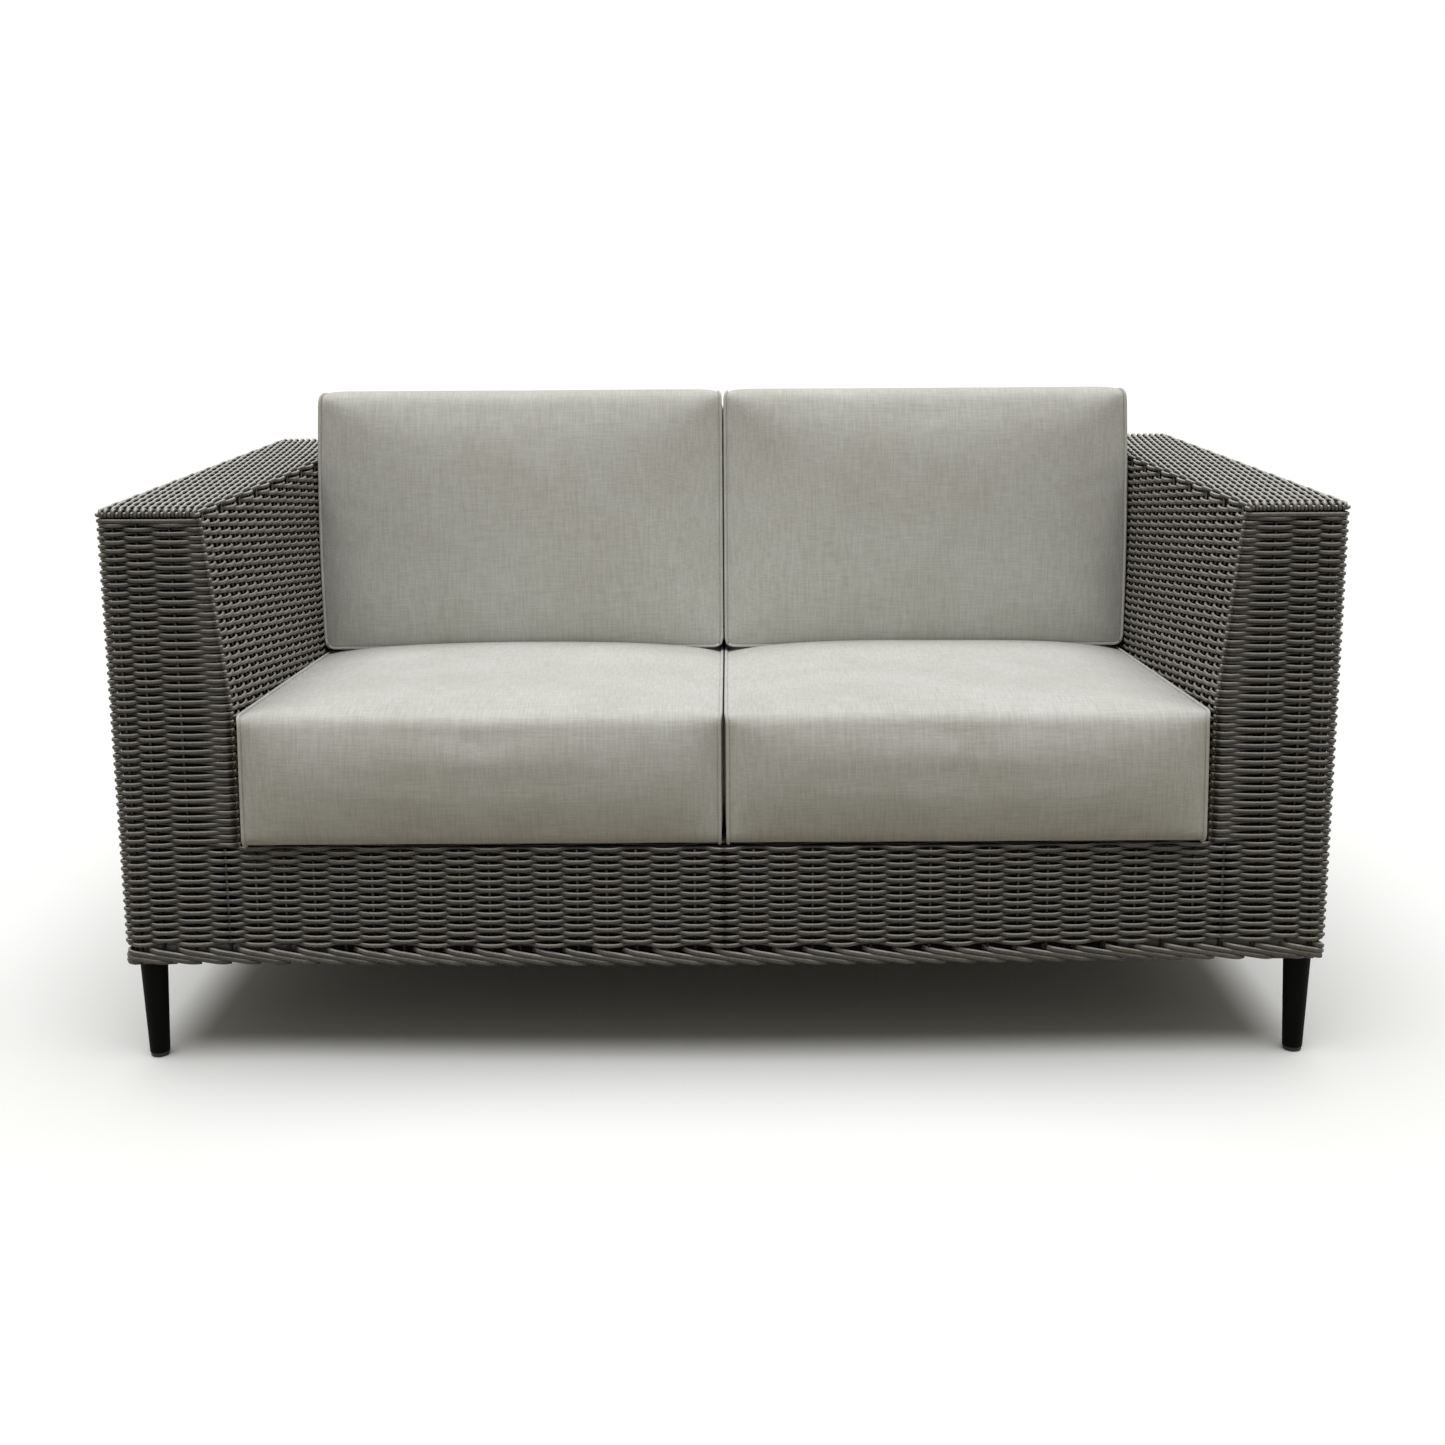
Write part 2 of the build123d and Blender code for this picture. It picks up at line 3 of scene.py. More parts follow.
import bmesh
import bpy
import numpy as np
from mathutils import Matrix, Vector


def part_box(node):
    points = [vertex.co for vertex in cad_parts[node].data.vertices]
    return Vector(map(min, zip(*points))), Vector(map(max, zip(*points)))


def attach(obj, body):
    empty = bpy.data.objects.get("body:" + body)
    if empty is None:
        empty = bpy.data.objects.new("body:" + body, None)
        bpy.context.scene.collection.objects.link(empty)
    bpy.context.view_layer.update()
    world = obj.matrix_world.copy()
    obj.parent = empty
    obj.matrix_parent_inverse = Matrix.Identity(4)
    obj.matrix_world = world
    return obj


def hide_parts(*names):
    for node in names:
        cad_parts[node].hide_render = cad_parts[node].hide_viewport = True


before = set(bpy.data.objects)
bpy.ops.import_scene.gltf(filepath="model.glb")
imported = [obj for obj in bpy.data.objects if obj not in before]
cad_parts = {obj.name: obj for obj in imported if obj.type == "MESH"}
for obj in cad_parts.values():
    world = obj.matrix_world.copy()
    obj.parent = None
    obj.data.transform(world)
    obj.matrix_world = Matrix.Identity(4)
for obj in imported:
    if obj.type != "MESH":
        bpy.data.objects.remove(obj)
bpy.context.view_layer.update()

# Patio loveseat: a woven resin tub on slim black legs, with two boxed seat cushions and two
# boxed back cushions. Metres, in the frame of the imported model.

MM = 0.001

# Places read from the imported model
arm_low, arm_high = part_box("weave_arm_right")
front_y = arm_low.y
rear_y = arm_high.y
top_z = arm_high.z
border_top = arm_low.z
well_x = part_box("weave_back_inner")[1].x
bow_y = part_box("weave_apron")[0].y
apron_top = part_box("weave_apron")[1].z
border_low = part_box("border_front")[0].z

# Sizes of the tub that the model's boxes don't give
half_width = 0.7535
side_taper = 0.017
corner_radius = 0.012
inner_corner_radius = 0.012
edge_radius = 0.010
arm_flare = 0.027
knee_z = 0.455
back_top_width = 0.155
deck_height = 0.287
lean_angle = radians(5.5)
fall_angle = radians(3.75)
recline = tan(lean_angle)
deck_slope = tan(fall_angle)
rear_x = half_width - side_taper
back_top_y = rear_y - back_top_width
deck_back_z = deck_height - deck_slope * (back_top_y - top_z * recline - front_y)
deck_back_z = deck_back_z / (1 + deck_slope * recline)
deck_back_y = back_top_y - (top_z - deck_back_z) * recline

# The weave: round strands over and under upright stakes
strand_pitch = 5.2 * MM
strand_high = 2.65 * MM
strand_deep = 2.2 * MM
weave_swing = 3.5 * MM
stake_radius = 2.0 * MM
stake_pitch = 37.5 * MM
corner_stake_gap = 22 * MM
corner_rise = 0.95
corner_tuck = 0.1
bar_sag = 0.5 * MM
row_wobble = 0.3 * MM
wobble_reach = 0.09
strand_sides = 6
steps_between_stakes = (0.0, 0.2, 0.36, 0.5, 0.64, 0.8)

# Stakes in an arm's front, from its outer side, and the gap to the first one in the apron
front_stake_places = (90 * MM, 50 * MM, 22 * MM)
apron_stake_gap = 44 * MM

# How far the rows reach up under the strands of the top, inside and in front
row_overlap = MM
front_row_overlap = 2 * MM

# How much of a radius is kept clear before a bend, the points of a bend and of a curved face
bend_clearance = 1.2
bend_points = 9
face_points = 24

# Each strand's strip in its mesh's map: what is left free at the ends and at the sides
strip_end = 0.002
strip_margin = 0.1

# The strands of an arm's top bend down over the front edge and end behind the first rows
top_drop = 13 * MM
top_bend = 10 * MM
edge_stake_gap = 26 * MM
edge_tuck = -1.0
top_strand_high = 2.35 * MM
top_strand_count = 31
top_points = 12
least_ease = 0.8
inner_edge_tilt = -0.1

# At the rear a strand comes up from under the first rows
rear_rise_share = 0.4
rear_rise = 0.8

# Strands across the back's top
back_strand_count = 31

# The deck's flatter weave
deck_pitch = 6.0 * MM
deck_strand_high = 2.9 * MM
deck_strand_deep = 1.5 * MM
deck_swing = 1.3 * MM
deck_stake_pitch = 75 * MM
deck_stake_margin = 3 * MM
deck_side_margin = 2 * MM
deck_front_margin = 9 * MM
deck_margins = 12 * MM
deck_points = 8

# The twisted wale that ends the weave below
wale_stroke = 105 * MM
wale_pitch = 37.5 * MM
wale_high = 3.4 * MM
wale_deep = 2.6 * MM
wale_tuck_share = 0.16
wale_tuck = 7 * MM
wale_bow = 2 * MM
wale_ease = 0.15
wale_points = 15
ring_points = 40

# Where the stakes and the dark sheets that paint the shade begin below, and about where the back's stakes
# leave the deck
weave_foot = border_low + 6 * MM
back_stake_z = 0.25

# The dark sheets behind the weave, which paint the shade inside the tub
shade_backing_depth = 12 * MM
shade_backing_pitch = 4 * stake_pitch

# Cushions: panels wrapped over the face's edges, side gussets and a zip boxing, all piped
cushion_gap = 4 * MM
rest_gap = 0.3 * MM
cushion_width = well_x - 1.5 * cushion_gap
cushion_x = (cushion_width + cushion_gap) / 2
seat_overhang = 12 * MM
seat_clearance = 8 * MM
seat_depth = (deck_back_y - front_y) / cos(fall_angle) - seat_clearance + seat_overhang
back_height = 381 * MM
piping_radius = 2.2 * MM
piping_lift = 0.6 * piping_radius
piping_step = 4 * MM
piping_sides = 8
piping_tone = 0.5
seam_inset = 2.0 * MM
grid_step = 9 * MM
cover_thickness = 3 * MM
tape_gap = 0.2 * MM
zip_inset = 86 * MM
zip_slot = 14 * MM

# What the two kinds of cushion don't share: their size from the zip side, the places of their
# rear and front faces, how much the faces swell, the radii of edges and corners, and a seed
cushion_kinds = {
    "seat": {"depth": seat_depth, "foot": 0.0, "seam": 162 * MM, "crown": 10.5 * MM,
             "fullness": 0.5 * MM, "bulge": 12 * MM, "end_growth": 14 * MM, "front_roll": 11 * MM,
             "foot_roll": 12 * MM, "corner_round": 7 * MM, "seed": 3},
    "back": {"depth": back_height, "foot": 4 * MM, "seam": 178 * MM, "crown": 15 * MM,
             "fullness": 19 * MM, "bulge": 0.0, "end_growth": 1.5 * MM, "front_roll": 15 * MM,
             "foot_roll": 9 * MM, "corner_round": 13 * MM, "seed": 5},
}
zip_round = 9 * MM
foot_round = 9 * MM
crown_share = 0.4

# How far each cushion is pressed out towards its arm, past its own half width
arm_reach = {
    "seat_cushion_left": 3 * MM,
    "seat_cushion_right": 0.5 * MM,
    "back_cushion_left": 8 * MM,
    "back_cushion_right": 6 * MM,
}

# How far a gusset at the middle swells towards its neighbour, and how soon from its ends
centre_reach = 3 * MM
centre_ease = 25 * MM

# How steeply a face's crown and an end's bulge set in, and how far from an edge they are full
face_power = 6
end_power = 8
foot_reach = 0.06
bulge_reach = 0.09
gusset_draw = 2.5 * MM

# Slow rises over a face: how high, how far from its edges they are full, and how many
dimple_height = 0.7 * MM
dimple_reach = 0.1
dimple_waves = 6

# How close a cover comes to the arms and, from each side, to the loveseat's middle
arm_clearance = 0.6 * MM
centre_clearance = 0.8 * MM

# What the cloth simulation may move a point by, in all and inwards
growth_cap = 9 * MM
sink_cap = 0.8 * MM
solved_share = 0.4
cloth_frames = 20

# What counts as no distance, and what keeps a division from going to nothing
tolerance = 1e-5
least = 1e-9

random = np.random.default_rng(11)


# Strand meshes


def unit(vectors):
    return vectors / np.linalg.norm(vectors, axis=-1, keepdims=True)


def square_to(tangent, out):
    """Out turned square to a tangent, and the direction across both."""
    out = unit(out - tangent * np.sum(out * tangent, axis=1, keepdims=True))
    return out, unit(np.cross(out, tangent))


def resample(places, known, points):
    """The points of a path at other places along it."""
    return np.stack([np.interp(places, known, points[:, k]) for k in range(3)], axis=-1)


def link(name, mesh):
    piece = bpy.data.objects.new(name, mesh)
    bpy.context.scene.collection.objects.link(piece)
    return piece


class Strands:
    """Collects tubes and makes one mesh of them, each with its own strip of the mesh's map."""

    def __init__(self, mirrored=False, painted_seat_light=False):
        self.rings = []
        self.tones = []
        self.under_shades = []
        self.mirrored = mirrored
        self.painted_seat_light = painted_seat_light

    def tube(self, middle, out, across, deep, high, tone, sides=strand_sides, under_shade=0.0):
        """A closed tube round a path; out and across are unit vectors at each point.

        The painted shade is 0 where the strand lies on top of the weave and 1 where it lies under.
        """
        turn = np.arange(sides) * 2 * pi / sides + pi / sides
        ring = middle[:, None, :]
        ring = ring + deep * np.cos(turn)[None, :, None] * out[:, None, :]
        ring = ring + high * np.sin(turn)[None, :, None] * across[:, None, :]
        if self.mirrored:
            ring = ring * (-1, 1, 1)
        self.rings.append(ring)
        # Painted light: strands of the inner faces and deck take the upper, lighter half of the tone
        # ramp, standing in for light bounced from the seat.
        self.tones.append((tone + self.painted_seat_light) / 2)
        self.under_shades.append(np.repeat(np.broadcast_to(under_shade, len(middle)), sides))

    def strip(self, index, length, sides):
        """The map of one tube: its length along u, its round in a thin strip of v."""
        along = np.linspace(strip_end, 1 - strip_end, length)
        share = strip_margin + (1 - 2 * strip_margin) * np.arange(sides + 1) / sides
        round_it = (index + share) / len(self.rings)
        u0 = np.repeat(along[:-1, None], sides, axis=1)
        u1 = np.repeat(along[1:, None], sides, axis=1)
        v0 = np.repeat(round_it[None, :-1], length - 1, axis=0)
        v1 = np.repeat(round_it[None, 1:], length - 1, axis=0)
        wall = np.stack([u0, v0, u1, v0, u1, v1, u0, v1], axis=-1).reshape(-1, 8)
        low, high = round_it[:2]
        start = np.array([0, low, strip_end, low, strip_end, high, 0, high])
        end = start.copy()
        end[0::2] = 1 - start[0::2]
        caps = (sides - 2) // 2
        return np.concatenate([wall, np.repeat([start, end], caps, axis=0)])

    def mesh(self, name):
        points = []
        quads = []
        corners = []
        is_cap = []
        tones = []
        first = 0
        for index, (ring, tone) in enumerate(zip(self.rings, self.tones)):
            length, sides, _ = ring.shape
            number = np.arange(length * sides).reshape(length, sides) + first
            after = np.roll(number, -1, axis=1)
            wall = np.stack([number[:-1], number[1:], after[1:], after[:-1]], axis=-1).reshape(-1, 4)
            fan = [[0, k, k + 1, k + 2] for k in range(1, sides - 2, 2)]
            caps = np.concatenate([number[0][fan], number[-1][fan][:, ::-1]])
            points.append(ring.reshape(-1, 3))
            quads += [wall, caps]
            corners.append(self.strip(index, length, sides))
            is_cap += [np.zeros(len(wall), bool), np.ones(len(caps), bool)]
            tones.append(np.full(length * sides, tone))
            first += length * sides
        quads = np.concatenate(quads)
        corners = np.concatenate(corners).reshape(-1, 4, 2)
        if not self.mirrored:
            quads = quads[:, ::-1]
            corners = corners[:, ::-1]
        mesh = bpy.data.meshes.new(name)
        mesh.from_pydata(np.concatenate(points), [], quads)
        mesh.shade_smooth()
        flat = mesh.attributes.new("sharp_face", "BOOLEAN", "FACE")
        flat.data.foreach_set("value", np.concatenate(is_cap))
        layer = mesh.uv_layers.new(name="OFBake")
        layer.uv.foreach_set("vector", corners.ravel().astype(np.float32))
        for label, values in (("tone", tones), ("under_shade", self.under_shades)):
            shade = mesh.attributes.new(label, "FLOAT", "POINT")
            shade.data.foreach_set("value", np.concatenate(values).astype(np.float32))
        return link(name, mesh)


def arc_points(before, corner, after, radius):
    """The points of an arc that rounds a corner between two neighbours."""
    back = unit(before - corner)
    ahead = unit(after - corner)
    half = np.arccos(np.clip(back @ ahead, -1, 1)) / 2
    centre = corner + unit(back + ahead) * radius / np.sin(half)
    start = corner + back * radius / np.tan(half) - centre
    end = corner + ahead * radius / np.tan(half) - centre
    turn = pi - 2 * half
    share = np.linspace(0, 1, bend_points)[:, None]
    return centre + (np.sin((1 - share) * turn) * start + np.sin(share * turn) * end) / np.sin(turn)


class Course:
    """The path of one strand over faces of the tub, rounded where they meet."""

    def __init__(self, faces, radii, sideways):
        faces = [np.asarray(face, float) for face in faces]
        runs = []
        self.spans = []
        count = 0
        for index, face in enumerate(faces):
            inner = face
            if index:
                bend = arc_points(faces[index - 1][-2], face[0], face[1], radii[index - 1])
                runs.append(bend)
                count += len(bend)
                clear = bend_clearance * radii[index - 1]
                inner = inner[np.linalg.norm(inner - face[0], axis=1) > clear]
            if index < len(faces) - 1:
                clear = bend_clearance * radii[index]
                inner = inner[np.linalg.norm(inner - face[-1], axis=1) > clear]
            self.spans.append((max(count - 1, 0), count + len(inner)))
            runs.append(inner)
            count += len(inner)
        self.points = np.concatenate(runs)
        steps = np.linalg.norm(np.diff(self.points, axis=0), axis=1)
        self.s = np.concatenate([[0], np.cumsum(steps)])
        tangent = unit(np.gradient(self.points, self.s, axis=0))
        self.out = unit(np.cross(tangent, np.asarray(sideways, float)))

    def station(self, face, axis, places):
        """How far along the path it passes places on one face, given by x, y or z."""
        start, end = self.spans[face]
        where = self.points[start:end + 1, axis]
        s = self.s[start:end + 1]
        if where[0] > where[-1]:
            where, s = where[::-1], s[::-1]
        return np.interp(places, where, s)

    def bend_middle(self, face):
        """How far along the path it is at the middle of the bend after a face."""
        end = self.spans[face][1]
        start = self.spans[face + 1][0]
        return (self.s[end] + self.s[start]) / 2

    def at(self, s):
        return resample(s, self.s, self.points), unit(resample(s, self.s, self.out))


def wander(s, size):
    """A value that wanders along a strand, drawn anew each time."""
    count = int((s[-1] - s[0]) / wobble_reach) + 4
    return size * np.interp(s, np.linspace(s[0], s[-1], count), random.uniform(-1, 1, count))


def weave(parts, course, stations, signs, swing_size=weave_swing, deep=strand_deep, high=strand_high):
    """Lays one strand along a course, over a stake where its sign is +1 and under it at -1.

    parts gives, in order, each collection of strands and how far along the path it ends; the
    strand is left out where a part has no collection.
    """
    s = []
    swing = []
    for k in range(len(stations) - 1):
        if stations[k + 1] - stations[k] < MM:
            continue
        middle_sign = (signs[k] + signs[k + 1]) / 2
        half_change = (signs[k] - signs[k + 1]) / 2
        for step in steps_between_stakes:
            s.append(stations[k] + step * (stations[k + 1] - stations[k]))
            swing.append(middle_sign + half_change * sin(pi / 2 * cos(pi * step)))
    s = np.array(s + [stations[-1]])
    swing = np.array(swing + [signs[-1]])
    middle, out = course.at(s)
    tangent = unit(np.gradient(middle, s, axis=0))
    across = unit(np.cross(out, tangent))
    depth = swing_size * swing - deep - swing_size
    sag = wander(s, row_wobble) - bar_sag * np.clip(swing, 0, 1) ** 2
    middle = middle + out * depth[:, None] + across * sag[:, None]
    out, across = square_to(unit(np.gradient(middle, s, axis=0)), out)
    tone = random.uniform()
    # Painted shade: 0 where the strand lies over a stake, 1 where it lies under.
    under_shade = np.clip((1 - swing) / 2, 0, 1)
    start = 0
    for strands, end in parts:
        stop = len(s) - 1 if end is None else int(np.searchsorted(s, end))
        if strands and stop > start:
            span = slice(start, stop + 1)
            strands.tube(middle[span], out[span], across[span], deep, high, tone, under_shade=under_shade[span])
        start = stop


# The tub's faces


def side_x(y):
    """The outer face of the right arm."""
    return half_width - side_taper * (y - front_y) / (rear_y - front_y)


def inner_x(y, z):
    """The inner face of the right arm, which flares out above the knee."""
    rise = np.clip((z - knee_z) / (top_z - knee_z), 0, 1)
    ahead = np.clip(1 - (y - front_y) / (deck_back_y - front_y), 0, 1)
    return well_x + arm_flare * rise * ahead


def back_y(z):
    """The leaning inner face of the back."""
    return back_top_y - (top_z - z) * recline


def apron_y(x):
    """The bowed face of the apron."""
    return front_y + (bow_y - front_y) * (1 - (x / well_x) ** 2)


def deck_z(y):
    return deck_height - (y - front_y) * deck_slope


def line(start, end, count=2):
    share = np.linspace(0, 1, count)[:, None]
    return np.array(start) * (1 - share) + np.array(end) * share


def spread(start, end, pitch):
    """Places from start to end, both included, about a pitch apart."""
    return np.linspace(start, end, round(abs(end - start) / pitch) + 1)


# Where the stakes stand on each face of the right half, in the order that a strand passes them
front_stakes = half_width - np.array(front_stake_places)
apron_stakes = spread(0, front_stakes[0] - apron_stake_gap, stake_pitch)
side_stakes = spread(front_y + corner_stake_gap, rear_y - corner_stake_gap, stake_pitch)
rear_stakes = spread(rear_x - corner_stake_gap, 0, stake_pitch)
inner_stakes = spread(back_top_y - 3 * corner_stake_gap, front_y + corner_stake_gap, stake_pitch)
back_stakes = spread(0, well_x - corner_stake_gap, stake_pitch)


def outer_faces(z):
    """The arm's side and the rear of the tub at one height."""
    return line((half_width, front_y, z), (rear_x, rear_y, z)), line((rear_x, rear_y, z), (0, rear_y, z))


def low_course(z):
    """A strand below the deck, from the middle of the apron round to the middle of the rear."""
    x = np.linspace(0, well_x, face_points)
    apron = np.stack([x, apron_y(x), np.full_like(x, z)], axis=-1)
    front = np.concatenate([apron, [(half_width, front_y, z)]])
    course = Course([front, *outer_faces(z)], [corner_radius, corner_radius], (0, 0, 1))
    passed = [(0, np.concatenate([apron_stakes, front_stakes])), (1, side_stakes), (0, rear_stakes)]
    return course, passed, len(apron_stakes)


def high_course(z):
    """A strand above the deck: inner back, inner arm, arm front, side and rear."""
    y = np.linspace(back_y(z), front_y, face_points)
    inner = np.stack([inner_x(y, z), y, np.full_like(y, z)], axis=-1)
    back = line((0, y[0], z), inner[0])
    front = line(inner[-1], (half_width, front_y, z))
    radii = [inner_corner_radius, inner_corner_radius, corner_radius, corner_radius]
    course = Course([back, inner, front, *outer_faces(z)], radii, (0, 0, 1))
    passed = [(0, back_stakes), (1, inner_stakes), (0, front_stakes), (1, side_stakes), (0, rear_stakes)]
    return course, passed, len(back_stakes) + len(inner_stakes) + 1


def alternate(count, first):
    return [1 if (first + k) % 2 == 0 else -1 for k in range(count)]


def over_and_under(course, passed, first):
    """Where a strand passes each stake and each outer corner, and its sign there."""
    stations = []
    signs = []
    count = 0
    for face, (axis, places) in enumerate(passed):
        stations += list(course.station(face, axis, places))
        signs += alternate(len(places), first + count)
        count += len(places)
        concave = len(passed) > 3 and face == 0
        if face < len(passed) - 1 and not concave:
            stations.append(course.bend_middle(face))
            signs.append(corner_rise if (first + count) % 2 == 0 else corner_tuck)
            count += 1
    return stations, signs


def half_tub(mirrored):
    """The strands that run round the right half of the tub, or the left if mirrored."""
    apron, front, side, rear = (Strands(mirrored) for _ in range(4))
    # The back and the inner arm take the painted lighter tones that stand in for light from the seat.
    back, arm_inner = (Strands(mirrored, painted_seat_light=True) for _ in range(2))
    rows = int((top_z - edge_radius + row_overlap - border_top) / strand_pitch)
    front_rows = int((top_z - top_drop + front_row_overlap - border_top) / strand_pitch)
    for row in range(rows):
        z = border_top + (row + 0.5) * strand_pitch
        low = z < apron_top
        course, passed, before = low_course(z) if low else high_course(z)
        last_side = len(course.spans) - 2
        turn = course.bend_middle(last_side - 1)
        rear_turn = course.bend_middle(last_side)
        stations, signs = over_and_under(course, passed, row - before)
        if row == front_rows - 1:
            first = before - 1
            signs[first:first + len(front_stakes) + 2] = [corner_rise] * (len(front_stakes) + 2)
        if low:
            parts = [(apron, stations[before - 1])]
        else:
            parts = [(back, course.bend_middle(0)), (arm_inner, course.bend_middle(1))]
        parts += [(front if row < front_rows else None, turn), (side, rear_turn), (rear, None)]
        weave(parts, course, stations, signs)
    return {"apron": apron, "back": back, "inner": arm_inner, "front": front, "side": side, "rear": rear}


def well_rows(arm_inner, back):
    """The rows low in the well, each of which ends where the sloping deck meets the arm."""
    first = int((deck_back_z - border_top) / strand_pitch)
    last = int((apron_top - border_top) / strand_pitch - 0.5)
    for row in range(first, last + 1):
        z = border_top + (row + 0.5) * strand_pitch
        corner = (well_x, back_y(z), z)
        end_y = front_y + max((deck_height - z) / deck_slope, corner_stake_gap)
        faces = [line((0, back_y(z), z), corner)]
        kept = inner_stakes[inner_stakes > end_y + corner_stake_gap / 2]
        if len(kept):
            faces.append(line(corner, (well_x, end_y, z), 8))
        course = Course(faces, [inner_corner_radius] * (len(faces) - 1), (0, 0, 1))
        stations = list(course.station(0, 0, back_stakes))
        parts = [(back, None)]
        if len(kept):
            stations += list(course.station(1, 1, kept))
            parts = [(back, course.bend_middle(0)), (arm_inner, None)]
        stations.append(course.s[-1])
        signs = alternate(len(stations), row - len(back_stakes) - len(inner_stakes) - 1)
        signs[-1] = -1
        weave(parts, course, stations, signs)


def rounded_top(outer, inner, share):
    """A place at a share of the way over a rounded top, its height and its tilt."""
    bend = edge_radius * pi / 2
    flat = outer - inner - 2 * edge_radius
    t = share * (flat + 2 * bend)
    if bend <= t < bend + flat:
        return outer - edge_radius - (t - bend), top_z, 0.0
    if t < bend:
        tilt = pi / 2 - t / edge_radius
        place = outer - edge_radius * (1 - sin(tilt))
    else:
        tilt = -(t - bend - flat) / edge_radius
        place = inner + edge_radius * (1 + sin(tilt))
    return place, top_z - edge_radius * (1 - cos(tilt)), tilt


def arm_section(y, share):
    """The rounded top of the right arm at one depth."""
    return rounded_top(side_x(y), inner_x(y, top_z), share)


def arm_top(mirrored):
    """The strands along the top of the right arm, bent down at both ends."""
    strands = Strands(mirrored)
    for row in range(top_strand_count):
        share = (row + 0.5) / top_strand_count
        _, _, tilt = arm_section(front_y, share)
        normal = np.array([sin(tilt), 0, cos(tilt)])
        inner_edge = tilt < inner_edge_tilt
        end_y = back_top_y if inner_edge else rear_y
        y = np.linspace(end_y, front_y, top_points)
        top = np.array([(x, v, z) for v in y for x, z, _ in [arm_section(v, share)]])
        ease = max(cos(tilt), least_ease)
        drop = normal * top_drop * ease
        faces = [top, np.array([top[-1], top[-1] - drop])]
        radii = [top_bend * ease]
        if not inner_edge:
            faces.insert(0, np.array([top[0] - drop, top[0]]))
            radii.append(top_bend * ease)
        course = Course(faces, radii, (cos(tilt), 0, -sin(tilt)))
        on_top = len(faces) - 2
        places = side_stakes[::-1].copy()
        places[-1] = front_y + edge_stake_gap
        places = places[places < end_y]
        crossings = course.station(on_top, 1, places)
        edge = course.bend_middle(on_top)
        end = course.s[-1]
        over = alternate(len(crossings) + 1, row)[::-1]
        stations = [*crossings, edge, (edge + end) / 2, end]
        signs = [*over[:-1], corner_rise if over[-1] > 0 else edge_tuck, corner_rise, -1]
        if not inner_edge:
            rear_edge = course.bend_middle(0)
            stations = [0, rear_rise_share * rear_edge, rear_edge, *stations]
            signs = [-1, rear_rise, -over[0], *signs]
        weave([(strands, None)], course, stations, signs, weave_swing, strand_deep, top_strand_high)
    return strands


def back_top(mirrored):
    """The strands along the top of the back, which end under the arm's."""
    strands = Strands(mirrored)
    for row in range(back_strand_count):
        y, z, tilt = rounded_top(rear_y, back_top_y, (row + 0.5) / back_strand_count)
        course = Course([line((0, y, z), (well_x, y, z), top_points)], [], (0, cos(tilt), -sin(tilt)))
        stations = [*course.station(0, 0, back_stakes), well_x]
        signs = alternate(len(stations), row)
        signs[-1] = -1
        weave([(strands, None)], course, stations, signs)
    return strands


def deck(mirrored):
    """The flatter weave of the deck, half of it."""
    # The deck takes the painted lighter tones that stand in for light from the seat.
    strands = Strands(mirrored, painted_seat_light=True)
    stakes = spread(0, well_x - deck_stake_margin, deck_stake_pitch)
    length = back_y(deck_z(back_top_y)) - front_y
    for row in range(int((length - deck_margins) / deck_pitch)):
        y = front_y + deck_front_margin + row * deck_pitch
        x = np.linspace(0, well_x - deck_side_margin, deck_points)
        path = np.stack([x, np.full_like(x, y), np.full_like(x, deck_z(y))], axis=-1)
        course = Course([path], [], (0, 1, 0))
        stations = course.station(0, 0, stakes)
        weave([(strands, None)], course, stations, alternate(len(stations), row),
              deck_swing, deck_strand_deep, deck_strand_high)
    return strands


def tub_ring(z):
    """The whole outline of the tub at one height, from the middle of the rear."""
    x = np.linspace(-well_x, well_x, ring_points)
    front = np.stack([x, apron_y(x), np.full_like(x, z)], axis=-1)
    front = np.concatenate([[(-half_width, front_y, z)], front, [(half_width, front_y, z)]])
    corners = [(0, rear_y, z), (-rear_x, rear_y, z), (-half_width, front_y, z)]
    faces = [line(corners[0], corners[1]), line(corners[1], corners[2]), front,
             line((half_width, front_y, z), (rear_x, rear_y, z)), line((rear_x, rear_y, z), corners[0])]
    return Course(faces, [corner_radius] * 4, (0, 0, 1))


def wale():
    """The twisted wale: long strokes that fall to the right, each under the next."""
    ring = tub_ring(0)
    around = ring.s[-1]
    count = round(around / wale_pitch)
    high = border_top - wale_high - MM
    low = border_low + wale_high
    runs = [Strands() for _ in range(4)]
    for stroke in range(count):
        share = np.linspace(0, 1, wale_points)
        s = stroke * around / count + (share - 0.5) * wale_stroke
        middle, out = ring.at(s % around)
        tuck = np.clip(share / wale_tuck_share, 0, 1) * np.clip((1 - share) / wale_tuck_share, 0, 1)
        z = high + (low - high) * ((1 - wale_ease) * share + wale_ease * np.sin(share * pi / 2))
        depth = wale_deep + wale_tuck * (1 - tuck) ** 2 + wale_bow * share * (1 - share)
        middle = middle - out * depth[:, None]
        middle[:, 2] = z
        out, across = square_to(unit(np.gradient(middle, axis=0)), out)
        run = runs[stroke * len(runs) // count]
        run.tube(middle, out, across, wale_deep, wale_high, random.uniform())
    return runs


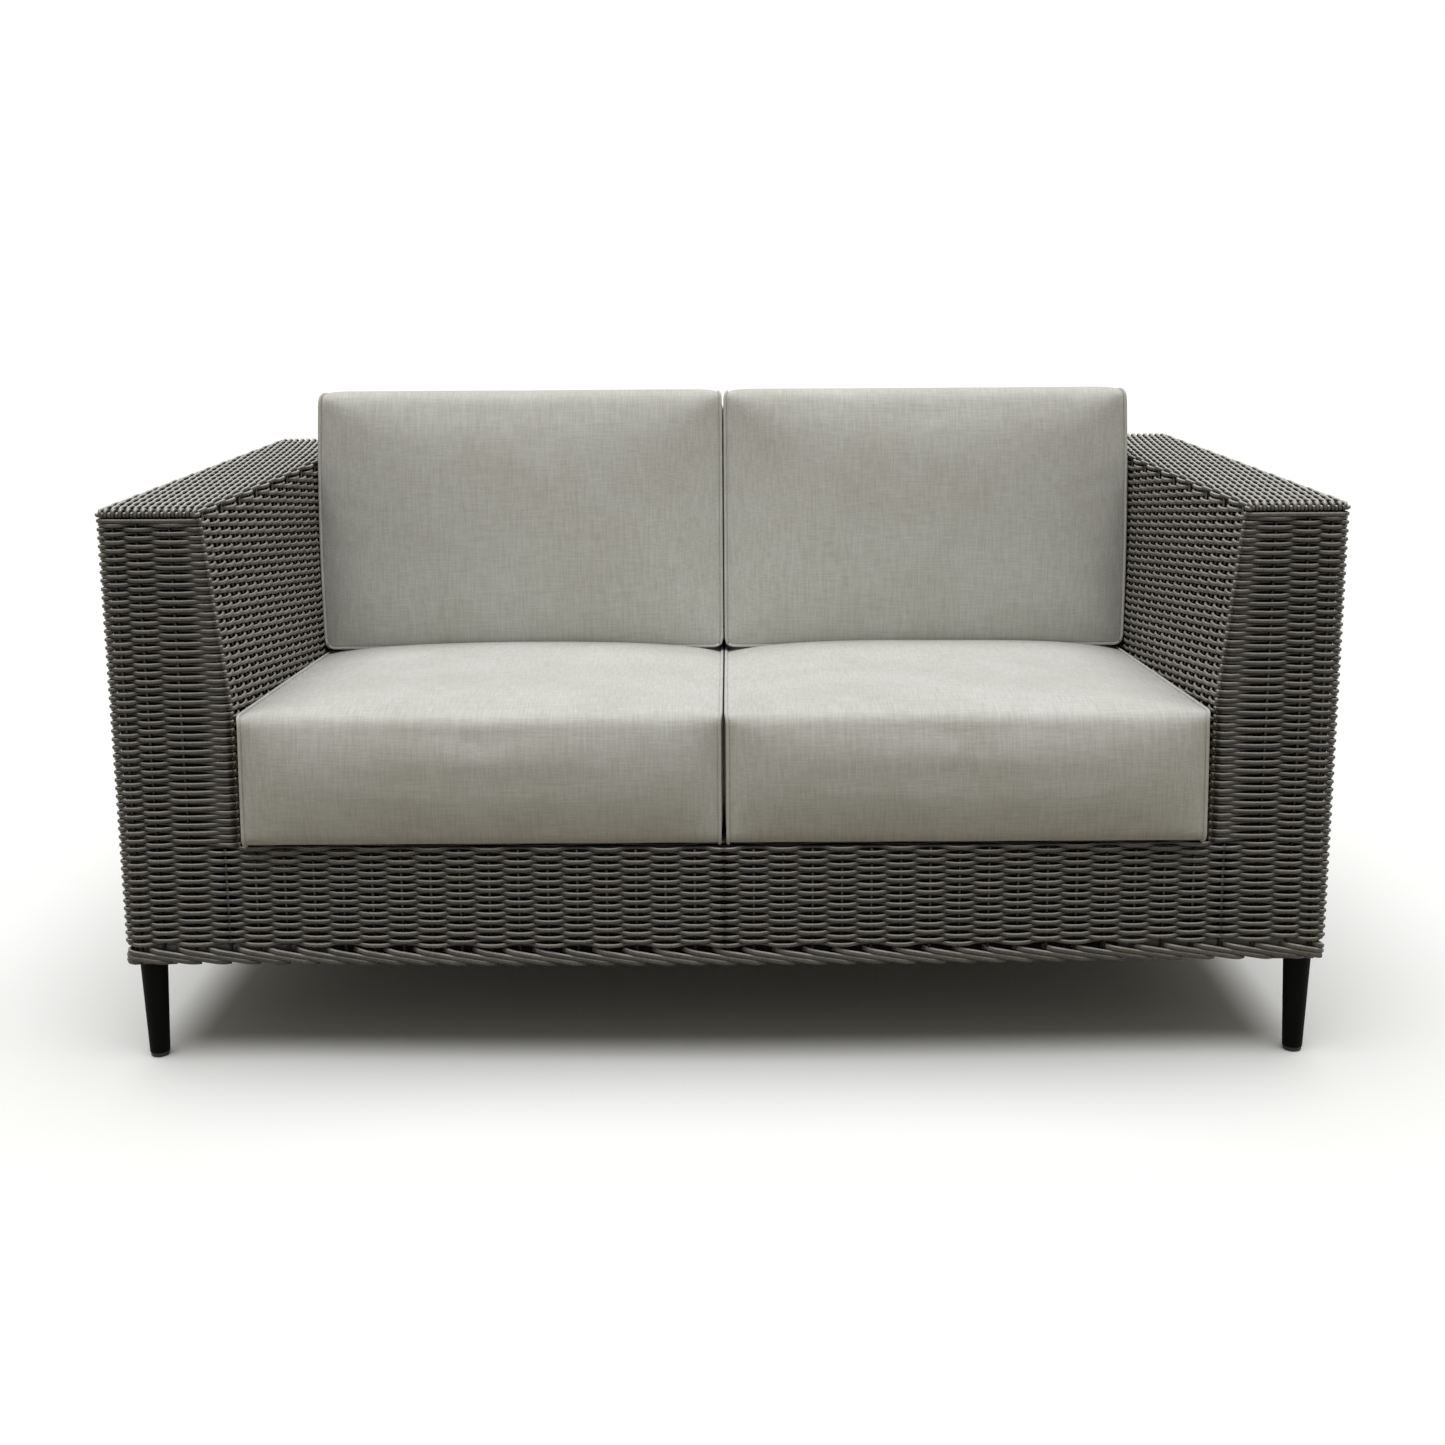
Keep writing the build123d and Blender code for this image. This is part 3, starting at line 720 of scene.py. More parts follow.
def stakes(mirrored):
    """The upright stakes of one half, which show between the strands."""
    strands = Strands(mirrored)
    depth = strand_deep + weave_swing
    head = top_z - depth

    def stake(points, out):
        points = np.asarray(points, float)
        out = np.repeat([out], len(points), axis=0).astype(float)
        out, across = square_to(unit(np.gradient(points, axis=0)), out)
        # Stakes get full painted shade, as they stand behind the strands.
        strands.tube(points, out, across, stake_radius, stake_radius, random.uniform(), under_shade=1.0)

    for x in apron_stakes:
        y = apron_y(min(x, well_x)) + depth
        stake([(x, y, weave_foot), (x, y, apron_top - depth)], (0, -1, 0))
    for x in front_stakes:
        y = front_y + depth
        leant_x = max(x, inner_x(front_y, head) + depth)
        stake([(x, y, weave_foot), (leant_x, y, head)], (0, -1, 0))
    for y in side_stakes:
        outer = side_x(y) - depth
        stake([(outer, y, weave_foot), (outer, y, head)], (1, 0, 0))
        inner = inner_x(y, head) + depth
        stake([(outer, y, head), (inner if y < back_top_y else well_x, y, head)], (0, 0, 1))
    for x in rear_stakes:
        stake([(x, rear_y - depth, weave_foot), (x, rear_y - depth, head)], (0, 1, 0))
    floor = deck_z(back_y(back_stake_z))
    for x in back_stakes:
        stake([(x, back_y(floor) + depth, floor), (x, back_y(head) + depth, head)], (0, -1, 0))
        stake([(x, back_y(head) + depth, head), (x, rear_y - depth, head)], (0, 0, 1))
    for y in inner_stakes:
        levels = np.linspace(deck_z(y), head, 8)
        stake([(inner_x(y, z) + depth, y, z) for z in levels], (-1, 0, 0))
    return strands


def shade_backing(mirrored):
    """Dark sheets of one half close behind the strands, which paint the shade inside the tub."""
    head = top_z - shade_backing_depth
    flip = np.array([-1 if mirrored else 1, 1, 1])
    points = []
    faces = []

    def sheet(rows):
        rows = np.array(rows) * flip
        height, width, _ = rows.shape
        number = np.arange(height * width).reshape(height, width) + len(points)
        quads = np.stack([number[:-1, :-1], number[1:, :-1], number[1:, 1:], number[:-1, 1:]], axis=-1)
        faces.extend(quads.reshape(-1, 4).tolist())
        points.extend(rows.reshape(-1, 3).tolist())

    front = front_y + shade_backing_depth
    rear = rear_y - shade_backing_depth
    levels = (weave_foot, knee_z, head)
    lengths = spread(front, rear, shade_backing_pitch)
    sheet([[(side_x(y) - shade_backing_depth, y, z) for y in lengths] for z in levels])
    sheet([[(x, front, z) for x in (inner_x(front, z) + shade_backing_depth, half_width - shade_backing_depth)]
           for z in levels])
    sheet([[(x, y, head) for x in (inner_x(y, head) + shade_backing_depth, side_x(y) - shade_backing_depth)]
           for y in lengths])
    within = spread(front, back_top_y, shade_backing_pitch)
    sheet([[(inner_x(y, z) + shade_backing_depth, y, z) for y in within]
           for z in (deck_z(back_top_y), knee_z, head)])
    widths = spread(0, well_x + shade_backing_depth, shade_backing_pitch)
    sheet([[(x, rear, z) for x in (0, rear_x - shade_backing_depth)] for z in levels])
    sheet([[(x, back_y(z) + shade_backing_depth, z) for x in widths] for z in (deck_z(back_top_y), head)])
    sheet([[(x, y, head) for x in widths] for y in (back_top_y + shade_backing_depth, rear)])
    sheet([[(x, apron_y(x) + shade_backing_depth, z) for x in widths]
           for z in (weave_foot, apron_top - shade_backing_depth)])
    mesh = bpy.data.meshes.new("shade_backing")
    mesh.from_pydata(points, [], faces)
    return mesh


# Materials


def material(name):
    made = bpy.data.materials.new(name)
    made.use_nodes = True
    return made, made.node_tree, made.node_tree.nodes["Principled BSDF"]


def colour(red, green, blue):
    """A colour given as it shows on a screen, from 0 to 255."""
    def linear(value):
        share = value / 255
        return share / 12.92 if share <= 0.04045 else ((share + 0.055) / 1.055) ** 2.4
    return (linear(red), linear(green), linear(blue), 1)


def noise(tree, scale, detail, stretch=(1, 1, 1)):
    """A noise value in the object's own space."""
    place = tree.nodes.new("ShaderNodeTexCoord")
    mapping = tree.nodes.new("ShaderNodeMapping")
    mapping.inputs["Scale"].default_value = stretch
    pattern = tree.nodes.new("ShaderNodeTexNoise")
    pattern.inputs["Scale"].default_value = scale
    pattern.inputs["Detail"].default_value = detail
    tree.links.new(place.outputs["Object"], mapping.inputs["Vector"])
    tree.links.new(mapping.outputs["Vector"], pattern.inputs["Vector"])
    return pattern.outputs["Fac"]


def ramp(tree, value, stops):
    """Colours along a value, given as place and colour."""
    node = tree.nodes.new("ShaderNodeValToRGB")
    while len(node.color_ramp.elements) < len(stops):
        node.color_ramp.elements.new(0.5)
    for element, (place, shade) in zip(node.color_ramp.elements, stops):
        element.position = place
        element.color = shade
    tree.links.new(value, node.inputs["Fac"])
    return node.outputs["Color"]


def blend_colours(tree, share, first, second, mode="MIX"):
    node = tree.nodes.new("ShaderNodeMix")
    node.data_type = "RGBA"
    node.blend_type = mode
    if isinstance(share, float):
        node.inputs["Factor"].default_value = share
    else:
        tree.links.new(share, node.inputs["Factor"])
    for socket, value in ((node.inputs[6], first), (node.inputs[7], second)):
        if isinstance(value, tuple):
            socket.default_value = value
        else:
            tree.links.new(value, socket)
    return node.outputs[2]


def bump(tree, shader, height, strength, distance):
    node = tree.nodes.new("ShaderNodeBump")
    node.inputs["Strength"].default_value = strength
    node.inputs["Distance"].default_value = distance
    tree.links.new(height, node.inputs["Height"])
    tree.links.new(node.outputs["Normal"], shader.inputs["Normal"])


def attribute(tree, name):
    node = tree.nodes.new("ShaderNodeAttribute")
    node.attribute_name = name
    return node.outputs["Fac"]


def surface(shader, roughness, shine=0.5, metal=0.0):
    shader.inputs["Roughness"].default_value = roughness
    shader.inputs["Specular IOR Level"].default_value = shine
    shader.inputs["Metallic"].default_value = metal


def finish(name, pattern, dark, light, roughness, shine=0.5, metal=0.0, relief=None, edge=0.35):
    """A finish that wanders between two colours, with a relief of noise, strength and distance.

    Patterns give a noise's scale, detail and stretch.
    """
    made, tree, shader = material(name)
    shade = ramp(tree, noise(tree, *pattern), [(edge, colour(*dark)), (1 - edge, colour(*light))])
    tree.links.new(shade, shader.inputs["Base Color"])
    surface(shader, roughness, shine, metal)
    if relief:
        grain, strength, distance = relief
        bump(tree, shader, noise(tree, *grain), strength, distance)
    return made


def wicker_material():
    """Round resin strand: each its own grey-brown, with a painted lighter copy of the tones on inner
    faces and deck, painted shade where it lies under, and a painted highlight where it faces up.
    """
    made, tree, shader = material("wicker")
    # Tones up to 0.5 are the strands' own random grey-browns; above 0.5 is their painted lighter copy for
    # the inner faces and deck.
    tones = ((0.0, 76, 73, 66), (0.18, 88, 84, 76), (0.34, 97, 92, 86), (0.5, 110, 106, 98),
             (0.51, 112, 108, 99), (0.68, 124, 120, 111), (0.84, 134, 130, 122), (1.0, 146, 142, 134))
    body = ramp(tree, attribute(tree, "tone"), [(place, colour(*shade)) for place, *shade in tones])
    white = colour(255, 255, 255)
    streaks = ramp(tree, noise(tree, 260, 2), [(0.35, colour(196, 190, 184)), (0.62, white)])
    # Painted shade: strands darken towards this colour where they pass under other strands.
    painted_recess_shade = ramp(tree, attribute(tree, "under_shade"), [(0.15, white), (0.9, colour(88, 82, 74))])
    streaked = blend_colours(tree, 0.85, body, streaks, "MULTIPLY")
    # Painted highlight: surfaces that face up are lightened towards a pale grey, as light from above
    # would light them.
    geometry = tree.nodes.new("ShaderNodeNewGeometry")
    facing = tree.nodes.new("ShaderNodeSeparateXYZ")
    tree.links.new(geometry.outputs["Normal"], facing.inputs["Vector"])
    top_highlight_share = ramp(tree, facing.outputs["Z"], [(0.5, (0, 0, 0, 1)), (1.0, (0.85, 0.85, 0.85, 1))])
    top_highlighted = blend_colours(tree, top_highlight_share, streaked, colour(212, 211, 206))
    tree.links.new(blend_colours(tree, 1.0, top_highlighted, painted_recess_shade, "MULTIPLY"), shader.inputs["Base Color"])
    surface(shader, roughness=0.38, shine=0.42)
    bump(tree, shader, noise(tree, 900, 2), strength=0.12, distance=0.0004)
    return made


wicker = wicker_material()
# A dark colour for the sheets behind the weave; it paints the shade inside the tub.
shade_backing_finish = finish("shade_backing", (240, 4), (26, 24, 21), (44, 41, 37), roughness=0.95, shine=0.1,
                relief=((700, 2), 0.3, 0.0006))


def finish_strands(strands, name, *nodes):
    piece = strands.mesh(name)
    piece.data.materials.append(wicker)
    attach(piece, "tub")
    if nodes:
        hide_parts(*nodes)


def weave_tub():
    for end, mirrored in (("right", False), ("left", True)):
        strands = half_tub(mirrored)
        well_rows(strands["inner"], strands["back"])
        strands["arm_top"] = arm_top(mirrored)
        strands["back_top"] = back_top(mirrored)
        strands["deck"] = deck(mirrored)
        stood_for = {"apron": "weave_apron", "back": "weave_back_inner", "rear": "weave_back_outer",
                     "back_top": "weave_back_top", "deck": "weave_deck"}
        for name, laid in strands.items():
            finish_strands(laid, f"strands_{name}_{end}", stood_for.get(name, f"weave_arm_{end}"))
        finish_strands(stakes(mirrored), f"stakes_{end}")
        sheets = link(f"weave_lining_{end}", shade_backing(mirrored))
        sheets.data.materials.append(shade_backing_finish)
        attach(sheets, "tub")
    for index, run in enumerate(wale()):
        finish_strands(run, f"wale_{index + 1}", "border_front", "border_rear",
                       "border_side_left", "border_side_right")


weave_tub()


# Cushions


def fabric_material():
    """A fine greige outdoor weave: slubs both ways, a soft mottle and a thread relief."""
    made, tree, shader = material("fabric")
    across = noise(tree, 100, 3, (0.35, 5, 5))
    along = noise(tree, 100, 3, (5, 0.35, 0.35))
    mottle = noise(tree, 9, 4)
    slubs = blend_colours(
        tree, 0.5,
        ramp(tree, across, [(0.3, colour(199, 199, 195)), (0.7, colour(226, 227, 224))]),
        ramp(tree, along, [(0.3, colour(197, 197, 193)), (0.7, colour(228, 229, 227))]))
    shade = ramp(tree, mottle, [(0.3, colour(246, 245, 242)), (0.7, colour(255, 255, 255))])
    tree.links.new(blend_colours(tree, 1.0, slubs, shade, "MULTIPLY"), shader.inputs["Base Color"])
    surface(shader, roughness=0.93, shine=0.25)
    shader.inputs["Sheen Weight"].default_value = 0.15
    shader.inputs["Sheen Roughness"].default_value = 0.5
    thread = tree.nodes.new("ShaderNodeMath")
    thread.operation = "ADD"
    tree.links.new(noise(tree, 420, 1, (0.5, 3, 3)), thread.inputs[0])
    tree.links.new(noise(tree, 420, 1, (3, 0.5, 0.5)), thread.inputs[1])
    bump(tree, shader, thread.outputs[0], strength=0.35, distance=0.0006)
    return made


fabric = fabric_material()


def box_surface(counts):
    """The corners and faces of a grid over the six sides of a box, its corners as indices."""
    number = {}
    faces = []
    for axis in range(3):
        one, two = ((1, 2), (2, 0), (0, 1))[axis]
        for end in (0, counts[axis] - 1):
            for i in range(counts[one] - 1):
                for j in range(counts[two] - 1):
                    ring = []
                    for a, b in ((i, j), (i + 1, j), (i + 1, j + 1), (i, j + 1)):
                        key = [0, 0, 0]
                        key[axis], key[one], key[two] = end, a, b
                        ring.append(number.setdefault(tuple(key), len(number)))
                    faces.append(ring if end else ring[::-1])
    return np.array(list(number)), faces


def swell(distance, reach, power=5):
    """How far a padded face has risen at a distance from its seam, from 0 to 1."""
    return 1 - (1 - np.clip(distance / reach, 0, 1)) ** power


def nearest(*distances):
    """The least of several distances, rounded where two are alike."""
    return sum(np.maximum(distance, 1e-6) ** -4.0 for distance in distances) ** -0.25


def round_corner(first, second, radius):
    """Draws a square corner, given as distances in from both its edges, onto a round one."""
    one = np.clip(radius - first, 0, None)
    two = np.clip(radius - second, 0, None)
    square = np.maximum(one, two) / np.maximum(np.hypot(one, two), least)
    bent = (one > 0) & (two > 0)
    return np.where(bent, radius - one * square, first), np.where(bent, radius - two * square, second)


class Cushion:
    """One boxed cushion in its own axes: x across, a from the zip side and t through it."""

    def __init__(self, kind, end):
        seat = kind == "seat"
        sign = 1 if end == "right" else -1
        self.name = f"{kind}_cushion"
        self.end = end
        self.body = f"{kind}_cushion_{end}"
        vars(self).update(cushion_kinds[kind])
        self.reach = crown_share * min(self.depth, cushion_width)
        self.arm_side = -sign if seat else sign
        self.arm_reach = arm_reach[self.body]
        if seat:
            rise, run = sin(fall_angle), cos(fall_angle)
            self.along = np.array([0, -run, rise])
            self.out = np.array([0, rise, run])
            self.across = np.array([-1.0, 0, 0])
            start = np.array([sign * cushion_x, front_y, deck_height])
            shift = seat_overhang - seat_depth
        else:
            run, rise = sin(lean_angle), cos(lean_angle)
            self.along = np.array([0, run, rise])
            self.out = np.array([0, -rise, run])
            self.across = np.array([1.0, 0, 0])
            start = np.array([sign * cushion_x, deck_back_y, deck_back_z])
            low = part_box("back_cushion_cover_right")[0].z
            shift = (low - deck_back_z) / rise - self.foot * recline
        self.origin = start + shift * self.along + rest_gap * self.out
        half = cushion_width / 2 - seam_inset
        self.zip_half = cushion_width / 2 - zip_inset
        zip_middle = (self.foot + self.seam) / 2 if seat else boxing_middle(self)
        self.slot = (zip_middle - zip_slot / 2, zip_middle + zip_slot / 2)
        self.x = np.concatenate([
            spread(-half, -self.zip_half, grid_step)[:-1],
            spread(-self.zip_half, self.zip_half, grid_step),
            spread(self.zip_half, half, grid_step)[1:]])
        self.a = spread(0, self.depth, grid_step)
        self.t = np.concatenate([
            spread(self.foot, self.slot[0], grid_step)[:-1], spread(*self.slot, zip_slot / 2),
            spread(self.slot[1], self.seam, grid_step)[1:]])
        self.keys, self.faces = box_surface((len(self.x), len(self.a), len(self.t)))
        own_random = np.random.default_rng(self.seed + (sign > 0))
        self.waves = own_random.uniform(-1, 1, (dimple_waves, 4))

    def form(self, x, a, t):
        """The plump form: rolled edges, rounded corners, crowned faces, drawn-in gussets."""
        half = self.x[-1]
        on_side = half - np.abs(x) < 1e-6
        from_side = half - np.abs(x)
        from_end = self.depth - a
        from_face = self.seam - t
        from_foot = t - self.foot
        from_end, from_face = round_corner(from_end, from_face, self.front_roll)
        from_foot = np.minimum(from_foot, self.seam - self.foot - from_face)
        from_end, from_foot = round_corner(from_end, from_foot, self.foot_roll)
        from_face = np.where(from_foot < from_face, self.seam - self.foot - from_foot, from_face)
        height = from_foot / (self.seam - self.foot)
        face = np.clip(2 * height - 1, 0, 1) ** face_power
        rear = np.clip(1 - 2 * height, 0, 1) ** face_power
        plump = swell(nearest(from_side, from_end, a), self.reach)
        t = self.foot + from_foot + face * self.crown * plump
        t = t + face * self.fullness * (1 - (x / half) ** 2) * (1 - (2 * a / self.depth - 1) ** 2)
        t = t - rear * self.foot * swell(nearest(from_side, a), foot_reach)
        at_end = np.clip(1 - from_end / self.depth, 0, 1) ** end_power
        from_side, from_end = round_corner(from_side, from_end, self.corner_round)
        from_side, from_zip = round_corner(from_side, a, zip_round)
        a = np.where(a < zip_round, from_zip, self.depth - from_end)
        level = np.clip(height, 0, 1)
        a = a + at_end * self.bulge * swell(from_side, bulge_reach, 3) * np.sin(pi * level) ** 0.8
        middling = np.clip(np.minimum(a, self.depth - a) / centre_ease, 0, 1)
        drawn = np.where(
            x * self.arm_side > 0,
            gusset_draw * np.sin(pi * np.clip(a / self.depth, 0, 1)) * np.sin(pi * level),
            -centre_reach * middling * np.clip(np.sin(pi * level), 0, 1) ** 0.5)
        from_side, _ = round_corner(from_side, from_foot, foot_round)
        x = np.sign(x) * (half - from_side - np.where(on_side, drawn, 0))
        towards_arm = np.clip(x * self.arm_side / half, 0, 1) ** end_power
        fullness = 0.5 + 0.5 * np.sin(pi * np.clip(a / self.depth, 0, 1))
        x = x + self.arm_side * self.arm_reach * towards_arm * fullness
        return x, a, t

    def world(self, x, a, t):
        place = self.origin + x[:, None] * self.across + a[:, None] * self.along
        return place + t[:, None] * self.out

    def cover(self):
        i, j, k = self.keys.T
        x, a, t = self.form(self.x[i], self.a[j], self.t[k])
        start = np.stack([x, a, t], axis=-1)
        last_i, last_j, last_k = len(self.x) - 1, len(self.a) - 1, len(self.t) - 1
        on_side = (i == 0) | (i == last_i)
        on_loop = (j == 0) | (j == last_j) | (k == 0) | (k == last_k)
        seams = on_side & on_loop | (j == 0) & ((k == 0) | (k == last_k))
        resting = (k == 0) | (j == 0)
        start = self.dimple(start, seams | resting)
        mesh = bpy.data.meshes.new(f"{self.name}_{self.end}")
        mesh.from_pydata(start, [], self.faces)
        piece = link(f"{self.name}_{self.end}", mesh)
        outward = read_vectors(mesh, "normal")
        moved = inflate(piece, np.flatnonzero(seams | resting))
        step = solved_share * (moved - start)
        size = np.linalg.norm(step, axis=1, keepdims=True)
        step = step * np.minimum(1, growth_cap / np.maximum(size, least))
        sunk = -np.sum(step * outward, axis=1, keepdims=True)
        step = step + outward * np.clip(sunk - sink_cap, 0, None)
        place = start + step
        place[:, 1] = np.minimum(place[:, 1], self.depth + self.end_growth)
        world = self.world(*place.T)
        reach = inner_x(world[:, 1], world[:, 2]) - arm_clearance
        world[:, 0] = np.sign(world[:, 0]) * np.clip(np.abs(world[:, 0]), centre_clearance, reach)
        mesh.vertices.foreach_set("co", world.ravel())
        self.open_zip(piece)
        crease_seams(piece, seams)
        divide(piece)
        piece.data.shade_smooth()
        self.dress(piece)

    def dress(self, piece):
        piece.data.materials.append(fabric)
        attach(piece, self.body)
        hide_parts(f"{self.name}_cover_{self.end}")

    def dimple(self, place, held):
        """Slow uneven rises over the face, each cushion its own."""
        x, a, t = place.T
        rise = np.zeros(len(x))
        for size, wide, long, phase in self.waves:
            rise += size * np.sin(pi * (wide * 3 * x / cushion_width + long * 3 * a / self.depth + phase))
        fade = swell(self.x[-1] - np.abs(x), dimple_reach) * swell(a, dimple_reach) * ~held
        place = place.copy()
        place[:, 2] += dimple_height * (rise + 1) * fade * (t > (self.foot + self.seam) / 2)
        return place

    def open_zip(self, piece):
        """Opens the slot in the zip boxing, whose edges fold in over the tape."""
        low, high = self.slot
        i, j, k = self.keys.T
        inside = (j == 0) & (np.abs(self.x[i]) < self.zip_half + tolerance)
        inside = inside & (self.t[k] > low - tolerance) & (self.t[k] < high + tolerance)
        gone = {n for n, face in enumerate(self.faces) if all(inside[v] for v in face)}
        mesh = bmesh.new()
        mesh.from_mesh(piece.data)
        mesh.faces.ensure_lookup_table()
        bmesh.ops.delete(mesh, geom=[mesh.faces[n] for n in gone], context="FACES")
        rim = [edge for edge in mesh.edges if edge.is_boundary]
        grown = bmesh.ops.extrude_edge_only(mesh, edges=rim)
        shift = Vector(self.along * (cover_thickness - tape_gap))
        for vertex in [v for v in grown["geom"] if isinstance(v, bmesh.types.BMVert)]:
            vertex.co += shift
        bmesh.ops.recalc_face_normals(mesh, faces=mesh.faces)
        mesh.to_mesh(piece.data)
        mesh.free()

    def piping(self):
        """Welts round both gussets and along the zip boxing's long edges."""
        strands = Strands()
        half = self.x[-1]
        a_line, t_line = self.a, self.t
        loop_a = np.concatenate([
            a_line, np.full(len(t_line), a_line[-1]), a_line[::-1], np.zeros(len(t_line))])
        loop_t = np.concatenate([
            np.full(len(a_line), t_line[-1]), t_line[::-1], np.full(len(a_line), t_line[0]), t_line])
        line_x = spread(-half, half, grid_step)

        def welt(path, out, closed):
            out_and_across = square_to(path_tangent(path, closed), out)
            strands.tube(path + out * piping_lift, *out_and_across, piping_radius, piping_radius,
                         piping_tone, piping_sides)

        for side in (-1, 1):
            seam = self.form(np.full(len(loop_a), side * half), loop_a, loop_t)
            path = even_path(self.world(*seam), piping_step, closed=True)
            welt(path, welt_out(path, self.across * side), closed=True)
        for edge, side in ((self.foot, -self.out), (self.seam, self.out)):
            seam = self.form(line_x, np.zeros(len(line_x)), np.full(len(line_x), edge))
            path = even_path(self.world(*seam), piping_step)
            welt(path, np.repeat([unit(side - self.along)], len(path), axis=0), closed=False)
        self.dress(strands.mesh(f"{self.name}_piping_{self.end}"))


def boxing_middle(cushion):
    """The middle of a back cushion's boxing, where its zip lies, read from the zip's own place."""
    low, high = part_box("back_cushion_zip_right")
    middle = np.array([(low.x + high.x) / 2, (low.y + high.y) / 2, (low.z + high.z) / 2])
    return float((middle - cushion.origin) @ cushion.out)


def even_path(path, step, closed=False):
    """The same path with points an even step apart."""
    if closed:
        path = np.concatenate([path, path[:1]])
    length = np.concatenate([[0], np.cumsum(np.linalg.norm(np.diff(path, axis=0), axis=1))])
    count = round(length[-1] / step) + 1
    even = resample(np.linspace(0, length[-1], count), length, path)
    if closed:
        even = even[:-1]
        even = (np.roll(even, 1, axis=0) + 2 * even + np.roll(even, -1, axis=0)) / 4
        even = np.concatenate([even, even[:1]])
    return even


def path_tangent(path, closed):
    if closed:
        loop = path[:-1]
        ahead = unit(np.roll(loop, -1, axis=0) - np.roll(loop, 1, axis=0))
        return np.concatenate([ahead, ahead[:1]])
    return unit(np.gradient(path, axis=0))


def welt_out(path, side):
    """Out of a gusset's edge at 45 degrees, away from the cushion's middle."""
    outward = unit(np.cross(path_tangent(path, closed=True), side))
    if np.mean(np.sum(outward * (path - path.mean(axis=0)), axis=1)) < 0:
        outward = -outward
    return unit(outward + side)


def inflate(piece, held):
    """Blows a cover up from its smaller start; what is held stays."""
    group = piece.vertex_groups.new(name="held")
    group.add([int(n) for n in held], 1.0, "REPLACE")
    cloth = piece.modifiers.new("Cloth", "CLOTH")
    settings = cloth.settings
    settings.quality = 5
    settings.mass = 0.3
    settings.tension_stiffness = 18
    settings.compression_stiffness = 30
    settings.shear_stiffness = 6
    settings.bending_stiffness = 3
    settings.shrink_min = -0.003
    settings.use_pressure = True
    settings.uniform_pressure_force = 4
    settings.effector_weights.gravity = 0
    settings.vertex_group_mass = "held"
    cloth.collision_settings.use_collision = False
    scene = bpy.context.scene
    for frame_number in range(1, cloth_frames + 1):
        scene.frame_set(frame_number)
    solved = piece.evaluated_get(bpy.context.evaluated_depsgraph_get())
    points = read_vectors(solved.data)
    piece.modifiers.clear()
    piece.vertex_groups.clear()
    scene.frame_set(1)
    return points


def read_vectors(mesh, kind="co"):
    """The places of a mesh's points, or their normals, as an array."""
    vectors = np.empty(len(mesh.vertices) * 3)
    mesh.vertices.foreach_get(kind, vectors)
    return vectors.reshape(-1, 3)


def crease_seams(piece, seams):
    """Keeps the seams sharp under subdivision, with the slot's edges."""
    mesh = piece.data
    crease = mesh.attributes.new("crease_edge", "FLOAT", "EDGE")
    values = np.zeros(len(mesh.edges), np.float32)
    for edge in mesh.edges:
        first, second = edge.vertices
        if first < len(seams) and second < len(seams) and seams[first] and seams[second]:
            values[edge.index] = 1
    crease.data.foreach_set("value", values)


def divide(piece):
    """One subdivision, applied."""
    piece.modifiers.new("Subdivision", "SUBSURF").levels = 1
    solved = piece.evaluated_get(bpy.context.evaluated_depsgraph_get())
    mesh = bpy.data.meshes.new_from_object(solved)
    old = piece.data
    piece.modifiers.clear()
    piece.data = mesh
    bpy.data.meshes.remove(old)
    mesh.name = piece.name


for cushion_kind in ("seat", "back"):
    for cushion_end in ("left", "right"):
        cushion = Cushion(cushion_kind, cushion_end)
        cushion.cover()
        cushion.piping()

# Finishes of the pieces that keep the model's own shape


def coated(name, dark, light, roughness, grain=700, shine=0.5):
    """Powder coat: a fine orange peel with slightly uneven colour."""
    return finish(name, (14, 4), dark, light, roughness, shine, relief=((grain, 2), 0.15, 0.0004))


def filled(name, dark, light, cells, depth):
    """Foam or fibre: a cellular surface."""
    return finish(name, (cells, 4), dark, light, 1.0, 0.2, relief=((cells, 3), 0.5, depth))


tube_coat = coated("tube_coat", (58, 55, 51), (66, 63, 59), 0.5)
leg_coat = coated("leg_coat", (8, 8, 8), (12, 12, 11), 0.6, shine=0.05)
zinc = finish("zinc", (60, 4, (1, 1, 12)), (176, 176, 178), (206, 206, 208), 0.38, metal=1.0, edge=0.3)
zip_tape = finish("zip_tape", (300, 2, (4, 0.6, 0.6)), (172, 168, 158), (196, 192, 182), 0.9,
                  relief=((900, 1, (3, 0.5, 0.5)), 0.4, 0.0004), edge=0.3)
finishes = (
    ("leg_stud", zinc),
    ("leg_glide", coated("glide_plastic", (20, 20, 20), (28, 28, 28), 0.55, 400)),
    ("leg_plate", tube_coat),
    ("leg_", leg_coat),
    ("deck_slats", coated("slat_coat", (62, 59, 55), (72, 69, 64), 0.48)),
    ("seat_cushion_core", filled("foam", (226, 220, 202), (240, 235, 220), 420, 0.0008)),
    ("back_cushion_core", filled("fibre", (228, 228, 224), (246, 246, 243), 60, 0.003)),
    ("cushion_zip_slider", coated("zip_lacquer", (112, 108, 100), (128, 124, 116), 0.35, 300)),
    ("cushion_zip", zip_tape),
)


def finish_nodes():
    for name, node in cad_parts.items():
        chosen = tube_coat
        for part, made in reversed(finishes):
            if part in name:
                chosen = made
        node.data.materials.clear()
        node.data.materials.append(chosen)


finish_nodes()

# Floor, light and camera


